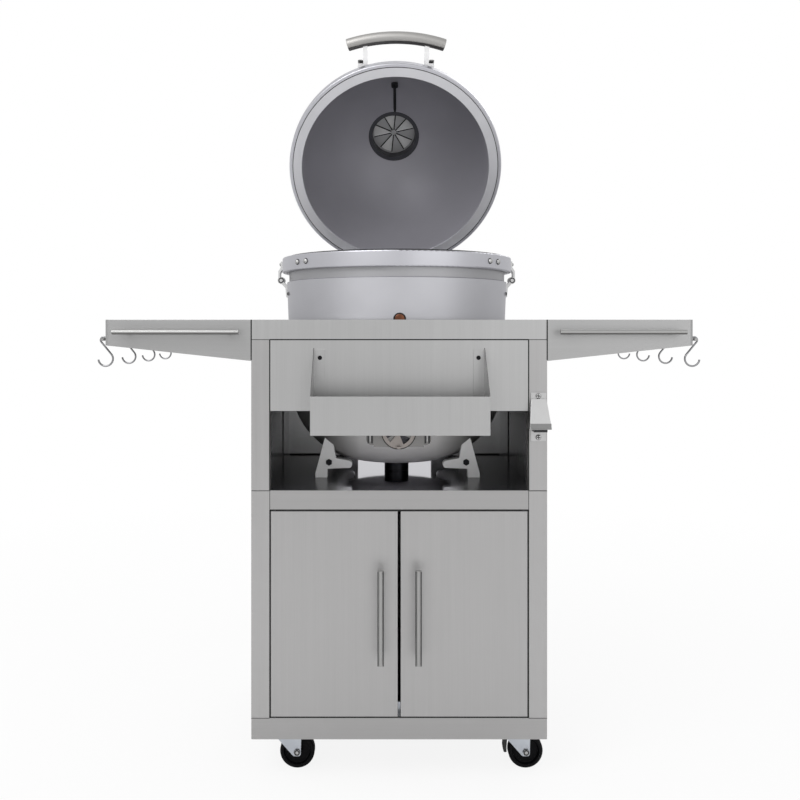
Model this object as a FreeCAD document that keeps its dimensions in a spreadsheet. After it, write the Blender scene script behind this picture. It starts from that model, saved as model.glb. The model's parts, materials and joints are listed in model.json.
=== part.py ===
import FreeCAD, Part
import math
import os
import re
import Sketcher

# Kamado grill on a stainless cart with doors, shelves and casters. Millimetres, +Z up, the front faces -Y,
# origin on the floor under the middle of the object's box. Every piece is drawn from the cart's front face
# (Y = 0 there) and then moved by front_y, and the lid's pieces are drawn closed and then swung open.

doc = FreeCAD.newDocument("GrillTable")
sizes = doc.addObject("Spreadsheet::Sheet", "Sizes")
ALIASES = []
NODES = []

DIMENSIONS = {
    # cart
    "cart_width": 622,
    "cart_depth": 610,
    "cart_height": 972,
    "gauge": 1.5,
    "slip": 0.3,
    "base_skirt": 45,
    "deck_skirt": 42,
    "post_face": 39,
    "post_return": 25,
    "back_return": 25,
    "bay_floor_level": 613,
    "bay_skirt": 41,
    "apron_height": 150,
    "apron_return": 20,
    "liner_inset": 24,
    "liner_gap": 32,
    "liner_wing": 158,
    "window_width": 200,
    "window_height": 124,
    "window_sill": 6,
    "corner_round": 2,
    # doors
    "door_side_gap": 2,
    "door_centre_gap": 6,
    "door_bottom_gap": 3,
    "door_top_gap": 3,
    "door_thickness": 20,
    "door_lip": 18,
    "pivot_in": 8,
    "pivot_back": 5,
    "pin_diameter": 6,
    "pin_length": 9,
    "pin_play": 0.05,
    "handle_diameter": 13,
    "handle_length": 196,
    "handle_inset": 36,
    "handle_drop": 213,
    "handle_stand": 38,
    "handle_post": 9,
    "handle_post_pitch": 160,
    # shelves
    "shelf_width": 308.5,
    "shelf_inner_drop": 87,
    "shelf_outer_drop": 54,
    "shelf_round": 10,
    "towel_diameter": 10,
    "towel_length": 262,
    "towel_start": 22,
    "towel_drop": 26,
    "towel_stand": 30,
    "towel_post": 8,
    "towel_post_pitch": 212,
    "rail_diameter": 6,
    "rail_stand": 9,
    "rail_drop": 42,
    "rail_end": 14,
    "hook_wire": 4,
    "hook_upper": 6.5,
    "hook_lower": 15.5,
    "hook_height": 66,
    "hook_first": 26,
    "hook_tilt": 6,
    # tray and bottle opener
    "tray_width": 360,
    "tray_depth": 100,
    "tray_height": 171,
    "tray_front": 78,
    "tray_back": 60,
    "tray_drop": 20,
    "tray_tab": 24,
    "tray_screw_drop": 18,
    "opener_inset": 19,
    "opener_width": 32,
    "opener_drop": 111,
    "opener_length": 102,
    "opener_plate": 3,
    "hood_flare": 46,
    "hood_reach": 34,
    "hood_drop": 13,
    "hood_height": 62,
    "hood_wall": 4,
    # casters
    "wheel_diameter": 75,
    "wheel_width": 26,
    "wheel_trail": 28,
    "caster_inset": 63.4,
    "caster_y": 75,
    "caster_rise": 25,
    "skirt_lap": 10,
    "caster_plate": 3,
    "mount_plate": 3,
    "fork_gap": 2,
    "fork_gauge": 2.5,
    "axle_diameter": 8,
    "kingpin_diameter": 12,
    "pedal_pin": 5,
    "pedal_gap": 5.5,
    "pedal_drop": 3,
    # grill body
    "bowl_inner": 242,
    "bowl_depth": 482,
    "bowl_lift": 27,
    "rim_wall": 24,
    "rim_height": 35,
    "band_gauge": 9,
    "neck_height": 23,
    "neck_inset": 7,
    "shoulder_inset": 2,
    "waist_inset": 11,
    "bowl_knuckle": 185,
    "bowl_wall": 22,
    "drain_hole": 40,
    "drain_outer": 58,
    "foot_x_inset": 98,
    "foot_y_inset": 140,
    "foot_width": 26,
    "foot_bolt": 12,
    "foot_bolt_rise": 35,
    "vent_rise": 91,
    "vent_width": 108,
    "vent_height": 66,
    "vent_port": 31,
    "vent_wheel": 37.5,
    "vent_gauge": 4,
    "grate_rise": 150,
    "grate_wire": 8,
    "grid_drop": 42,
    "grid_play": 6,
    "grid_wire": 8,
    "gasket_height": 3,
    "gasket_inset": 4,
    # lid
    "open_angle": 60.5,
    "hinge_room": 12,
    "hinge_drop": 19,
    "lid_wall_height": 40,
    "lid_land_height": 300,
    "lid_land_outer": 92,
    "lid_bore": 72,
    "lid_inner_height": 283,
    "lid_band_height": 30,
    "vent_bore": 61,
    "vent_disc_height": 323,
    "vent_tube_top": 328,
    "cap_radius": 76,
    "cap_gauge": 3,
    "knob_height": 30,
    "slot_inner": 8,
    "slot_outer": 57,
    "slot_angle": 36,
    "slot_offset": 36,
    "grip_diameter": 30,
    "grip_length": 241,
    "grip_reach": 52,
    "grip_rise": 76,
    "grip_height": 47,
    "grip_post_x": 76.5,
    "grip_post_width": 11,
    "grip_foot": 18.5,
    "grip_bolt": 13,
    "gauge_height": 235,
    "gauge_diameter": 76,
    "pointer_sweep": 260,
    "stem_diameter": 8,
    "stem_length": 85,
    "stem_nut": 18,
    "hinge_pin_diameter": 10,
    "hinge_barrel": 18,
    "hinge_arm_width": 70,
    "hinge_ear": 12,
}

FORMULAS = {
    "half_width": "cart_width / 2",
    "grill_y": "cart_depth / 2",
    "caster_height": "wheel_diameter + caster_rise",
    "base_clearance": "caster_height - skirt_lap",
    "caster_x": "half_width - caster_inset",
    "base_top": "base_clearance + base_skirt",
    "deck_bottom": "cart_height - deck_skirt",
    "post_inner": "cart_width / 2 - post_face",
    "bay_skirt_bottom": "bay_floor_level - bay_skirt",
    "apron_bottom": "deck_bottom - apron_height",
    "liner_x": "cart_width / 2 - liner_inset",
    "liner_back": "cart_depth - liner_gap",
    "liner_seam": "liner_back - liner_wing",
    "rim_outer": "bowl_inner + rim_wall",
    "band_outer": "rim_outer + band_gauge",
    "neck_outer": "rim_outer - neck_inset",
    "shoulder_outer": "rim_outer - shoulder_inset",
    "waist_outer": "rim_outer - waist_inset",
    "bowl_bottom": "bay_floor_level + bowl_lift",
    "rim_level": "bowl_bottom + bowl_depth",
    "foot_x": "waist_outer - foot_x_inset",
    "foot_y": "waist_outer - foot_y_inset",
    "foot_bolt_level": "bay_floor_level + foot_bolt_rise",
    "vent_level": "bowl_bottom + vent_rise",
    "vent_face": "grill_y - waist_outer",
    "grate_level": "bowl_bottom + grate_rise",
    "grid_level": "rim_level - grid_drop",
    "grid_radius": "bowl_inner - grid_play",
    "gasket_inner": "bowl_inner + gasket_inset",
    "gasket_outer": "rim_outer - gasket_inset",
    "hinge_back": "band_outer + hinge_room",
    "grip_centre": "band_outer + grip_reach",
    "grip_radius": "grip_centre + grip_rise",
    "deck_hole": "bowl_inner + 30",
    "door_outer": "post_inner - door_side_gap",
    "door_inner": "door_centre_gap / 2",
    "door_bottom": "base_top + door_bottom_gap",
    "door_top": "bay_skirt_bottom - door_top_gap",
    "pivot_x": "door_outer - pivot_in",
    "handle_middle": "door_top - handle_drop",
    "shelf_end": "half_width + shelf_width",
    "towel_level": "cart_height - towel_drop",
    "rail_x": "shelf_end + rail_stand",
    "rail_level": "cart_height - rail_drop",
    "hook_pitch": "(cart_depth - 2 * hook_first) / 3",
    "hook_drop": "hook_height - hook_wire - hook_upper - hook_lower",
    "tray_hang": "deck_bottom - tray_drop",
    "tray_bottom": "tray_hang - tray_height",
    "tray_screw_level": "tray_hang - tray_screw_drop",
    "opener_x": "half_width - opener_inset",
    "opener_top": "deck_bottom - opener_drop",
    "hood_top": "opener_top - hood_drop",
    "hood_bottom": "hood_top - hood_height",
    "axle_level": "wheel_diameter / 2",
    "pedal_x": "wheel_trail - wheel_diameter / 2 - pedal_gap",
    "pedal_level": "wheel_diameter - pedal_drop",
    "bowl_corner_level": "bowl_bottom + bowl_knuckle",
    "bowl_flat": "waist_outer - bowl_knuckle",
    "grate_reach": "bowl_knuckle - bowl_wall - grate_wire / 2 - slip",
    "grate_radius": "bowl_flat + grate_wire / 2 + sqrt(grate_reach^2 - (bowl_corner_level - grate_level)^2)",
    "shoulder_level": "rim_level - rim_height - neck_height",
    "parting_level": "rim_level + gasket_height + slip",
    "hinge_y": "grill_y + hinge_back",
    "hinge_level": "parting_level - hinge_drop",
    "lid_y": "hinge_y - hinge_back * cos(open_angle * 1deg) + hinge_drop * sin(open_angle * 1deg)",
    "lid_z": "hinge_level + hinge_back * sin(open_angle * 1deg) + hinge_drop * cos(open_angle * 1deg)",
    "dome_outer_radius": "((rim_outer - 2 - lid_land_outer)^2 + (lid_land_height - lid_wall_height)^2)"
    " / (2 * (rim_outer - 2 - lid_land_outer))",
    "dome_inner_radius": "((bowl_inner - lid_bore)^2 + (lid_inner_height - lid_wall_height)^2)"
    " / (2 * (bowl_inner - lid_bore))",
    "cap_top": "vent_tube_top + slip + cap_gauge + knob_height",
    "rear_reach": "hinge_y + (cap_radius - hinge_back) * cos(open_angle * 1deg)"
    " + (hinge_drop + vent_tube_top + slip + cap_gauge) * sin(open_angle * 1deg)",
    "front_y": "-(rear_reach - tray_depth) / 2",
}


def fill_sheet():
    """Write every driving size, then every size worked out from them, each under its own alias."""
    rows = [(name, str(value)) for name, value in DIMENSIONS.items()]
    rows += [(name, "=" + text) for name, text in FORMULAS.items()]
    for row, (name, text) in enumerate(rows, start=1):
        sizes.set(f"A{row}", name)
        sizes.setAlias(f"B{row}", name)
        sizes.set(f"B{row}", text)
        ALIASES.append(name)
    doc.recompute()


def linked(expression):
    """The expression with every alias written as a reference to the sheet."""
    return re.sub(
        r"[a-z][a-z_]+", lambda m: "Sizes." + m.group() if m.group() in ALIASES else m.group(), str(expression)
    )


def value(expression):
    """The expression's number, in millimetres or degrees."""
    result = sizes.evalExpression(linked(expression))
    return float(getattr(result, "Value", result))


def bind(thing, prop, expression):
    """Tie a property to the sheet."""
    thing.setExpression(prop, linked(expression))
    return thing


def move(thing, x="0", y="0", z="0"):
    """Tie a thing's place to the sheet."""
    for axis, expression in (("x", x), ("y", y), ("z", z)):
        if str(expression) != "0":
            bind(thing, "Placement.Base." + axis, expression)
    return thing


def turn(thing, axis, expression):
    """Tie a thing's turn about an axis through its own origin to the sheet."""
    thing.Placement.Rotation = FreeCAD.Rotation(FreeCAD.Vector(*axis), 1)
    return bind(thing, "Placement.Rotation.Angle", expression)


# Sketches and features


def new_body(name):
    body = doc.addObject("PartDesign::Body", name)
    body.AllowCompound = True
    return body


def new_sketch(body, plane, name, offset="0"):
    """A sketch on one of the body's own origin planes, XY, XZ or YZ, moved along that plane's normal."""
    sketch = body.newObject("Sketcher::SketchObject", name)
    support = next(f for f in body.Origin.OriginFeatures if f.Role == plane + "_Plane")
    sketch.AttachmentSupport = [(support, "")]
    sketch.MapMode = "FlatFace"
    if str(offset) != "0":
        bind(sketch, "AttachmentOffset.Base.z", offset)
    return sketch


def pin_point(sketch, geometry, position, x, y):
    """Hold a point at x and y from the sketch's origin."""
    for kind, expression in (("DistanceX", x), ("DistanceY", y)):
        index = sketch.addConstraint(Sketcher.Constraint(kind, -1, 1, geometry, position, value(expression)))
        sketch.setExpression(f"Constraints[{index}]", linked(expression))


def set_radius(sketch, geometry, radius):
    index = sketch.addConstraint(Sketcher.Constraint("Radius", geometry, value(radius)))
    sketch.setExpression(f"Constraints[{index}]", linked(radius))


def draw_arc(sketch, here, there, radius, side):
    """Add the short arc between two points, always anticlockwise, as a sketch keeps it."""
    chord = there - here
    left = FreeCAD.Vector(-chord.y, chord.x, 0).normalize() * side
    drop = math.sqrt(max(radius * radius - chord.Length ** 2 / 4, 0))
    centre = here + chord / 2 - left * drop
    first, last = (here, there) if side < 0 else (there, here)
    angles = [math.atan2(p.y - centre.y, p.x - centre.x) for p in (first, last)]
    circle = Part.Circle(centre, FreeCAD.Vector(0, 0, 1), radius)
    sketch.addGeometry(Part.ArcOfCircle(circle, *angles))


def draw_outline(sketch, points):
    """Close a loop through points (x, y). A third entry is the radius of the arc that leaves the point,
    and a fourth is +1 where that arc bulges to the left of its chord, or -1 to the right."""
    first = sketch.GeometryCount
    count = len(points)
    spots = [FreeCAD.Vector(value(p[0]), value(p[1]), 0) for p in points]
    for i, point in enumerate(points):
        here, there = spots[i], spots[(i + 1) % count]
        if len(point) > 2:
            draw_arc(sketch, here, there, value(point[2]), point[3])
        else:
            sketch.addGeometry(Part.LineSegment(here, there))
    starts = [2 if len(point) > 2 and point[3] > 0 else 1 for point in points]
    for i, point in enumerate(points):
        following = (i + 1) % count
        pin_point(sketch, first + i, starts[i], point[0], point[1])
        sketch.addConstraint(
            Sketcher.Constraint("Coincident", first + i, 3 - starts[i], first + following, starts[following])
        )
        if len(point) > 2:
            set_radius(sketch, first + i, point[2])
    return sketch


def draw_circle(sketch, x, y, radius):
    index = sketch.addGeometry(
        Part.Circle(FreeCAD.Vector(value(x), value(y), 0), FreeCAD.Vector(0, 0, 1), value(radius))
    )
    pin_point(sketch, index, 3, x, y)
    set_radius(sketch, index, radius)
    return sketch


def draw_rectangle(sketch, x_low, x_high, y_low, y_high):
    return draw_outline(
        sketch, [(x_low, y_low), (x_high, y_low), (x_high, y_high), (x_low, y_high)]
    )


def pad(body, sketch, length, reverse=False, middle=False):
    feature = body.newObject("PartDesign::Pad", sketch.Name + "_pad")
    feature.Profile = sketch
    bind(feature, "Length", length)
    feature.Reversed = reverse
    feature.Midplane = middle
    sketch.Visibility = False
    return feature


def pocket(body, sketch, length, reverse=False, middle=False):
    feature = body.newObject("PartDesign::Pocket", sketch.Name + "_pocket")
    feature.Profile = sketch
    bind(feature, "Length", length)
    feature.Reversed = reverse
    feature.Midplane = middle
    return feature


def revolve(body, sketch):
    feature = body.newObject("PartDesign::Revolution", sketch.Name + "_turned")
    feature.Profile = sketch
    feature.ReferenceAxis = (sketch, ["V_Axis"])
    feature.Angle = 360
    return feature


def fillet(body, choose, radius):
    """Round the edges of the body's last feature that choose() accepts."""
    doc.recompute()
    tip = body.Tip
    names = [f"Edge{i}" for i, edge in enumerate(tip.Shape.Edges, start=1) if choose(edge)]
    feature = body.newObject("PartDesign::Fillet", tip.Name + "_round")
    feature.Base = (tip, names)
    bind(feature, "Radius", radius)
    return feature


def upright(edge):
    """True for a straight edge along Z."""
    if len(edge.Vertexes) != 2 or not isinstance(edge.Curve, Part.Line):
        return False
    return abs(abs(edge.tangentAt(edge.FirstParameter).z) - 1) < 1e-6


# Plain solids and groups


def slab(name, x_low, x_high, y_low, y_high, z_low, z_high):
    """A block between bound limits."""
    box = doc.addObject("Part::Box", name)
    bind(box, "Length", f"({x_high}) - ({x_low})")
    bind(box, "Width", f"({y_high}) - ({y_low})")
    bind(box, "Height", f"({z_high}) - ({z_low})")
    return move(box, x_low, y_low, z_low)


def rod(name, radius, length, x="0", y="0", z="0", along="Z"):
    """A round bar that starts at a point and runs along an axis."""
    bar = doc.addObject("Part::Cylinder", name)
    bind(bar, "Radius", radius)
    bind(bar, "Height", length)
    if along == "X":
        bar.Placement.Rotation = FreeCAD.Rotation(FreeCAD.Vector(0, 1, 0), 90)
    if along == "Y":
        bar.Placement.Rotation = FreeCAD.Rotation(FreeCAD.Vector(1, 0, 0), -90)
    return move(bar, x, y, z)


def fuse(name, things):
    joined = doc.addObject("Part::MultiFuse", name)
    joined.Shapes = things
    joined.Refine = True
    return joined


def cut(name, base, tool):
    trimmed = doc.addObject("Part::Cut", name)
    trimmed.Base = base
    trimmed.Tool = tool
    return trimmed


def group(name, things):
    together = doc.addObject("Part::Compound", name)
    together.Links = things
    return together


def mirrored(name, thing, normal=(1, 0, 0), y="0"):
    """The thing seen in an upright plane."""
    copy = doc.addObject("Part::Mirroring", name)
    copy.Source = thing
    copy.Normal = FreeCAD.Vector(*normal)
    if str(y) != "0":
        bind(copy, "Base.y", y)
    return copy


def node(label, thing, placed=False):
    """Name a finished sub-part of the cart or the grill body and stand it in the shared frame."""
    thing.Label = label
    if not placed:
        move(thing, y="front_y")
    NODES.append(thing)
    return thing


def lid_node(label, thing):
    """Name a sub-part drawn in the closed lid's frame and swing it open about the hinge."""
    thing.Label = label
    turn(thing, (-1, 0, 0), "open_angle")
    move(thing, "0", "front_y + lid_y", "lid_z")
    NODES.append(thing)
    return thing


# Cart


def folded_pan(name, z_low, height, open_below):
    """A rectangular sheet with a skirt folded down on all four sides."""
    body = new_body(name)
    outer = draw_rectangle(new_sketch(body, "XY", name + "_outer", z_low), "-half_width", "half_width", "0", "cart_depth")
    pad(body, outer, height)
    fillet(body, upright, "corner_round")
    inner = new_sketch(body, "XY", name + "_inner", z_low)
    draw_rectangle(inner, "gauge - half_width", "half_width - gauge", "gauge", "cart_depth - gauge")
    pocket(body, inner, f"{height} - gauge", reverse=open_below)
    return body


def base_pan():
    body = folded_pan("base_pan_body", "base_clearance", "base_skirt", True)
    node("base_pan", body)


def top_deck():
    body = folded_pan("top_deck_body", "deck_bottom", "deck_skirt", True)
    hole = draw_circle(new_sketch(body, "XY", "deck_hole_outline", "cart_height"), "0", "grill_y", "deck_hole")
    pocket(body, hole, "2 * gauge")
    node("top_deck", body)


def side_panels(label, z_low, z_high):
    """Left and right walls, each folded into a post at the front and a return at the back."""
    body = new_body(label + "_right")
    profile = new_sketch(body, "XY", label + "_profile", z_low)
    draw_outline(
        profile,
        [
            ("half_width", "0"),
            ("half_width", "cart_depth"),
            ("half_width - gauge", "cart_depth"),
            ("half_width - gauge", "cart_depth - gauge"),
            ("half_width - back_return", "cart_depth - gauge"),
            ("half_width - back_return", "cart_depth - 2 * gauge"),
            ("half_width - gauge", "cart_depth - 2 * gauge"),
            ("half_width - gauge", "gauge"),
            ("post_inner + gauge", "gauge"),
            ("post_inner + gauge", "post_return"),
            ("post_inner", "post_return"),
            ("post_inner", "0"),
        ],
    )
    pad(body, profile, f"{z_high} - ({z_low})")
    node(label, group(label + "_pair", [body, mirrored(label + "_left", body)]))


def back_panel():
    panel = slab(
        "back_sheet", "gauge + slip - half_width", "half_width - gauge - slip",
        "cart_depth - gauge", "cart_depth", "base_top", "deck_bottom",
    )
    opening = slab(
        "back_window", "-window_width / 2", "window_width / 2", "cart_depth - 2 * gauge", "cart_depth + gauge",
        "bay_floor_level + window_sill", "bay_floor_level + window_sill + window_height",
    )
    node("back_panel", cut("back_panel_cut", panel, opening))


def bay_floor():
    """The floor under the grill, whose front edge folds down between the posts and back under itself."""
    sheet = slab(
        "bay_sheet", "-half_width", "half_width", "0", "cart_depth - gauge",
        "bay_floor_level - gauge", "bay_floor_level",
    )
    body = new_body("bay_front")
    profile = new_sketch(body, "YZ", "bay_front_profile")
    draw_outline(
        profile,
        [
            ("0", "bay_floor_level - gauge"),
            ("gauge", "bay_floor_level - gauge"),
            ("gauge", "bay_skirt_bottom + gauge"),
            ("post_return", "bay_skirt_bottom + gauge"),
            ("post_return", "bay_skirt_bottom"),
            ("0", "bay_skirt_bottom"),
        ],
    )
    pad(body, profile, "2 * post_inner", middle=True)
    node("bay_floor", fuse("bay_floor_sheet", [sheet, body]))


def bay_liners():
    """Polished inner walls: a flat sheet on each side and a back sheet with folded wings."""
    right = slab(
        "side_liner_right", "liner_x", "liner_x + gauge", "post_return", "liner_seam - 1",
        "bay_floor_level", "deck_bottom",
    )
    body = new_body("back_liner")
    profile = new_sketch(body, "XY", "back_liner_profile", "bay_floor_level")
    draw_outline(
        profile,
        [
            ("liner_x", "liner_seam"),
            ("liner_x + gauge", "liner_seam"),
            ("liner_x + gauge", "liner_back + gauge"),
            ("-liner_x - gauge", "liner_back + gauge"),
            ("-liner_x - gauge", "liner_seam"),
            ("-liner_x", "liner_seam"),
            ("-liner_x", "liner_back"),
            ("liner_x", "liner_back"),
        ],
    )
    pad(body, profile, "deck_bottom - bay_floor_level")
    window = new_sketch(body, "XZ", "liner_window", "-liner_back")
    draw_rectangle(
        window, "-window_width / 2", "window_width / 2",
        "bay_floor_level + window_sill", "bay_floor_level + window_sill + window_height",
    )
    pocket(body, window, "4 * gauge", middle=True)
    node("bay_liners", group("liner_sheets", [right, mirrored("side_liner_left", right), body]))


def apron():
    body = new_body("apron_body")
    profile = new_sketch(body, "YZ", "apron_profile")
    draw_outline(
        profile,
        [
            ("0", "apron_bottom"),
            ("apron_return", "apron_bottom"),
            ("apron_return", "apron_bottom + gauge"),
            ("gauge", "apron_bottom + gauge"),
            ("gauge", "deck_bottom - gauge"),
            ("apron_return", "deck_bottom - gauge"),
            ("apron_return", "deck_bottom"),
            ("0", "deck_bottom"),
        ],
    )
    pad(body, profile, "2 * post_inner", middle=True)
    node("apron", body)


# Shelves


def shelves():
    """A folded shelf whose front and back skirts taper from the cart to a rounded outer end."""
    body = new_body("shelf_right_body")
    profile = new_sketch(body, "XZ", "shelf_profile")
    draw_outline(
        profile,
        [
            ("half_width", "cart_height"),
            ("half_width", "cart_height - shelf_inner_drop"),
            ("shelf_end", "cart_height - shelf_outer_drop"),
            ("shelf_end", "cart_height"),
        ],
    )
    pad(body, profile, "cart_depth", reverse=True)
    end = value("shelf_end")
    fillet(body, lambda edge: upright(edge) and abs(edge.Vertexes[0].X - end) < 0.01, "shelf_round")
    doc.recompute()
    tip = body.Tip
    under = [
        f"Face{i}" for i, face in enumerate(tip.Shape.Faces, start=1) if face.normalAt(0.5, 0.5).z < -0.5
    ]
    shell = body.newObject("PartDesign::Thickness", "shelf_shell")
    shell.Base = (tip, under)
    bind(shell, "Value", "gauge")
    shell.Reversed = True
    node("shelf_right", body)
    node("shelf_left", mirrored("shelf_left_copy", body), placed=True)


def bar_with_posts(name, bar, posts):
    """A bar and its posts, each post ending on the bar's surface."""
    return [bar] + [cut(f"{name}_post_{i}", post, bar) for i, post in enumerate(posts)]


def towel_bars():
    bar = rod(
        "towel_bar", "towel_diameter / 2", "towel_length",
        "half_width + towel_start", "-towel_stand", "towel_level", along="X",
    )
    middle = "half_width + towel_start + towel_length / 2"
    posts = [
        rod(
            f"towel_stub_{i}", "towel_post / 2", "towel_stand",
            f"{middle} + {side} * towel_post_pitch / 2", "-towel_stand", "towel_level", along="Y",
        )
        for i, side in enumerate((-1, 1))
    ]
    right = group("towel_right", bar_with_posts("towel", bar, posts))
    node("towel_bars", group("towel_pair", [right, mirrored("towel_left", right)]))


def hook_rails():
    rail = rod("hook_rail", "rail_diameter / 2", "cart_depth - 2 * rail_end", "rail_x", "rail_end", "rail_level", along="Y")
    posts = [
        rod(
            f"rail_stub_{i}", "rail_diameter / 2 - 0.5", "rail_stand", "shelf_end",
            f"hook_first + {place} * hook_pitch", "rail_level", along="X",
        )
        for i, place in enumerate((0.5, 1.5, 2.5))
    ]
    right = group("rail_right", bar_with_posts("rail", rail, posts))
    node("hook_rails", group("rail_pair", [right, mirrored("rail_left", right)]))


def hook(name):
    """An S hook of one bent wire, drawn about the rail's centre, with its lower tip pointing out (+X)."""
    body = new_body(name)
    path = new_sketch(body, "XZ", name + "_path")
    small, large = value("hook_upper"), value("hook_lower")
    drop = value("hook_drop")
    tilt = math.acos((small + large) / drop)
    lift = value("hook_upper - hook_wire / 2 - rail_diameter / 2 - slip")
    upper = FreeCAD.Vector(0, -lift, 0)
    lower = FreeCAD.Vector(0, -lift - drop, 0)
    across = math.pi / 2 - tilt
    axis = FreeCAD.Vector(0, 0, 1)
    bottom = Part.ArcOfCircle(Part.Circle(lower, axis, large), math.pi - across, 2 * math.pi)
    top = Part.ArcOfCircle(Part.Circle(upper, axis, small), -across, math.pi + 0.6)
    path.addGeometry(bottom)
    path.addGeometry(Part.LineSegment(bottom.StartPoint, top.StartPoint))
    path.addGeometry(top)
    path.addConstraint(Sketcher.Constraint("Tangent", 1, 1, 0, 1))
    path.addConstraint(Sketcher.Constraint("Tangent", 1, 2, 2, 1))
    rise = "hook_upper - hook_wire / 2 - rail_diameter / 2 - slip"
    pin_point(path, 0, 3, "0", f"-({rise}) - hook_drop")
    pin_point(path, 2, 3, "0", f"-({rise})")
    set_radius(path, 0, "hook_lower")
    set_radius(path, 2, "hook_upper")
    path.addConstraint(Sketcher.Constraint("Horizontal", 0, 3, 0, 2))
    tip = path.addConstraint(
        Sketcher.Constraint("DistanceY", 2, 3, 2, 2, top.EndPoint.y - upper.y)
    )
    path.setExpression(f"Constraints[{tip}]", linked("-0.5646 * hook_upper"))
    section = new_sketch(body, "XY", name + "_section", f"-({rise}) - hook_drop")
    draw_circle(section, "hook_lower", "0", "hook_wire / 2")
    wire = body.newObject("PartDesign::AdditivePipe", name + "_wire")
    wire.Profile = section
    wire.Spine = path
    return body


def hooks():
    """Four hooks on each rail, hanging a little inward under their own weight."""
    for i in range(4):
        body = hook(f"hook_body_{i + 1}")
        turn(body, (0, 1, 0), "hook_tilt")
        move(body, "rail_x", f"front_y + hook_first + {i} * hook_pitch", "rail_level")
        node(f"s_hook_right_{i + 1}", body, placed=True)
        node(f"s_hook_left_{i + 1}", mirrored(f"hook_left_{i + 1}", body), placed=True)


# Tray and bottle opener


def condiment_tray():
    """A folded trough with a gusset at each end, which rises to a tab screwed to the apron."""
    body = new_body("tray_body")
    trough = new_sketch(body, "YZ", "trough_profile")
    draw_outline(
        trough,
        [
            ("-tray_depth", "tray_bottom"),
            ("0", "tray_bottom"),
            ("0", "tray_bottom + tray_back"),
            ("-gauge", "tray_bottom + tray_back"),
            ("-gauge", "tray_bottom + gauge"),
            ("gauge - tray_depth", "tray_bottom + gauge"),
            ("gauge - tray_depth", "tray_bottom + tray_front"),
            ("-tray_depth", "tray_bottom + tray_front"),
        ],
    )
    pad(body, trough, "tray_width", middle=True)
    for side, reverse in ((1, True), (-1, False)):
        gusset = new_sketch(body, "YZ", "gusset_right" if side > 0 else "gusset_left", f"{side} * tray_width / 2")
        draw_outline(
            gusset,
            [
                ("-tray_depth", "tray_bottom"),
                ("0", "tray_bottom"),
                ("0", "tray_hang"),
                ("-4 * gauge", "tray_hang"),
                ("-tray_depth", "tray_bottom + tray_front"),
            ],
        )
        pad(body, gusset, "gauge", reverse=reverse)
        tab = new_sketch(body, "XZ", "tab_right" if side > 0 else "tab_left")
        low, high = ("tray_width / 2 - tray_tab", "tray_width / 2")
        if side < 0:
            low, high = ("-tray_width / 2", "tray_tab - tray_width / 2")
        draw_rectangle(tab, low, high, "tray_bottom", "tray_hang")
        pad(body, tab, "gauge")
    node("condiment_tray", body)


def bottle_opener():
    """A cast plate with a hood that flares out and down over the bottle's cap."""
    body = new_body("opener_body")
    plate = new_sketch(body, "XZ", "opener_plate_outline")
    draw_rectangle(
        plate, "opener_x - opener_width / 2", "opener_x + opener_width / 2", "opener_top - opener_length", "opener_top"
    )
    pad(body, plate, "opener_plate")
    for name, kind, inset, drop in (
        ("hood", "PartDesign::AdditiveLoft", "0", "0"),
        ("hood_hollow", "PartDesign::SubtractiveLoft", "hood_wall", "1"),
    ):
        upper = new_sketch(body, "XY", name + "_upper", f"hood_top - 3 * {inset}")
        draw_rectangle(
            upper, f"opener_x - opener_width / 2 + {inset}", f"opener_x + opener_width / 2 - {inset}",
            "-opener_plate - 5", "-opener_plate",
        )
        lower = new_sketch(body, "XY", name + "_lower", f"hood_bottom - {drop}")
        draw_rectangle(
            lower, f"opener_x - hood_flare / 2 + {inset}", f"opener_x + hood_flare / 2 - {inset}",
            f"{inset} - hood_reach", "-opener_plate",
        )
        loft = body.newObject(kind, name + "_loft")
        loft.Profile = upper
        loft.Sections = [lower]
        loft.Ruled = True
    node("bottle_opener", body)


# Doors


def doors():
    """A folded door: front skin, four edges and a lip round the open back, bored for its pivot pins."""
    body = new_body("door_right_body")
    limits = ("door_inner", "door_outer", "door_bottom", "door_top")

    def inset_by(depth):
        low_x, high_x, low_z, high_z = limits
        return (f"{low_x} + {depth}", f"{high_x} - {depth}", f"{low_z} + {depth}", f"{high_z} - {depth}")

    skin = draw_rectangle(new_sketch(body, "XZ", "door_skin"), *limits)
    pad(body, skin, "gauge", reverse=True)
    edges = new_sketch(body, "XZ", "door_edges")
    draw_rectangle(edges, *limits)
    draw_rectangle(edges, *inset_by("gauge"))
    pad(body, edges, "door_thickness", reverse=True)
    lips = new_sketch(body, "XZ", "door_lips", "gauge - door_thickness")
    draw_rectangle(lips, *limits)
    draw_rectangle(lips, *inset_by("door_lip"))
    pad(body, lips, "gauge", reverse=True)
    fillet(
        body,
        lambda edge: upright(edge) and abs(edge.Vertexes[0].Y) < 0.01 and edge.Length > value("door_top - door_bottom") - 1,
        "gauge - 0.3",
    )
    bores = new_sketch(body, "XY", "door_bores", "door_bottom - 1")
    draw_circle(bores, "pivot_x", "pivot_back", "pin_diameter / 2 + pin_play")
    pocket(body, bores, "door_top - door_bottom + 2", reverse=True)
    node("door_right", body)
    node("door_left", mirrored("door_left_copy", body), placed=True)


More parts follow.
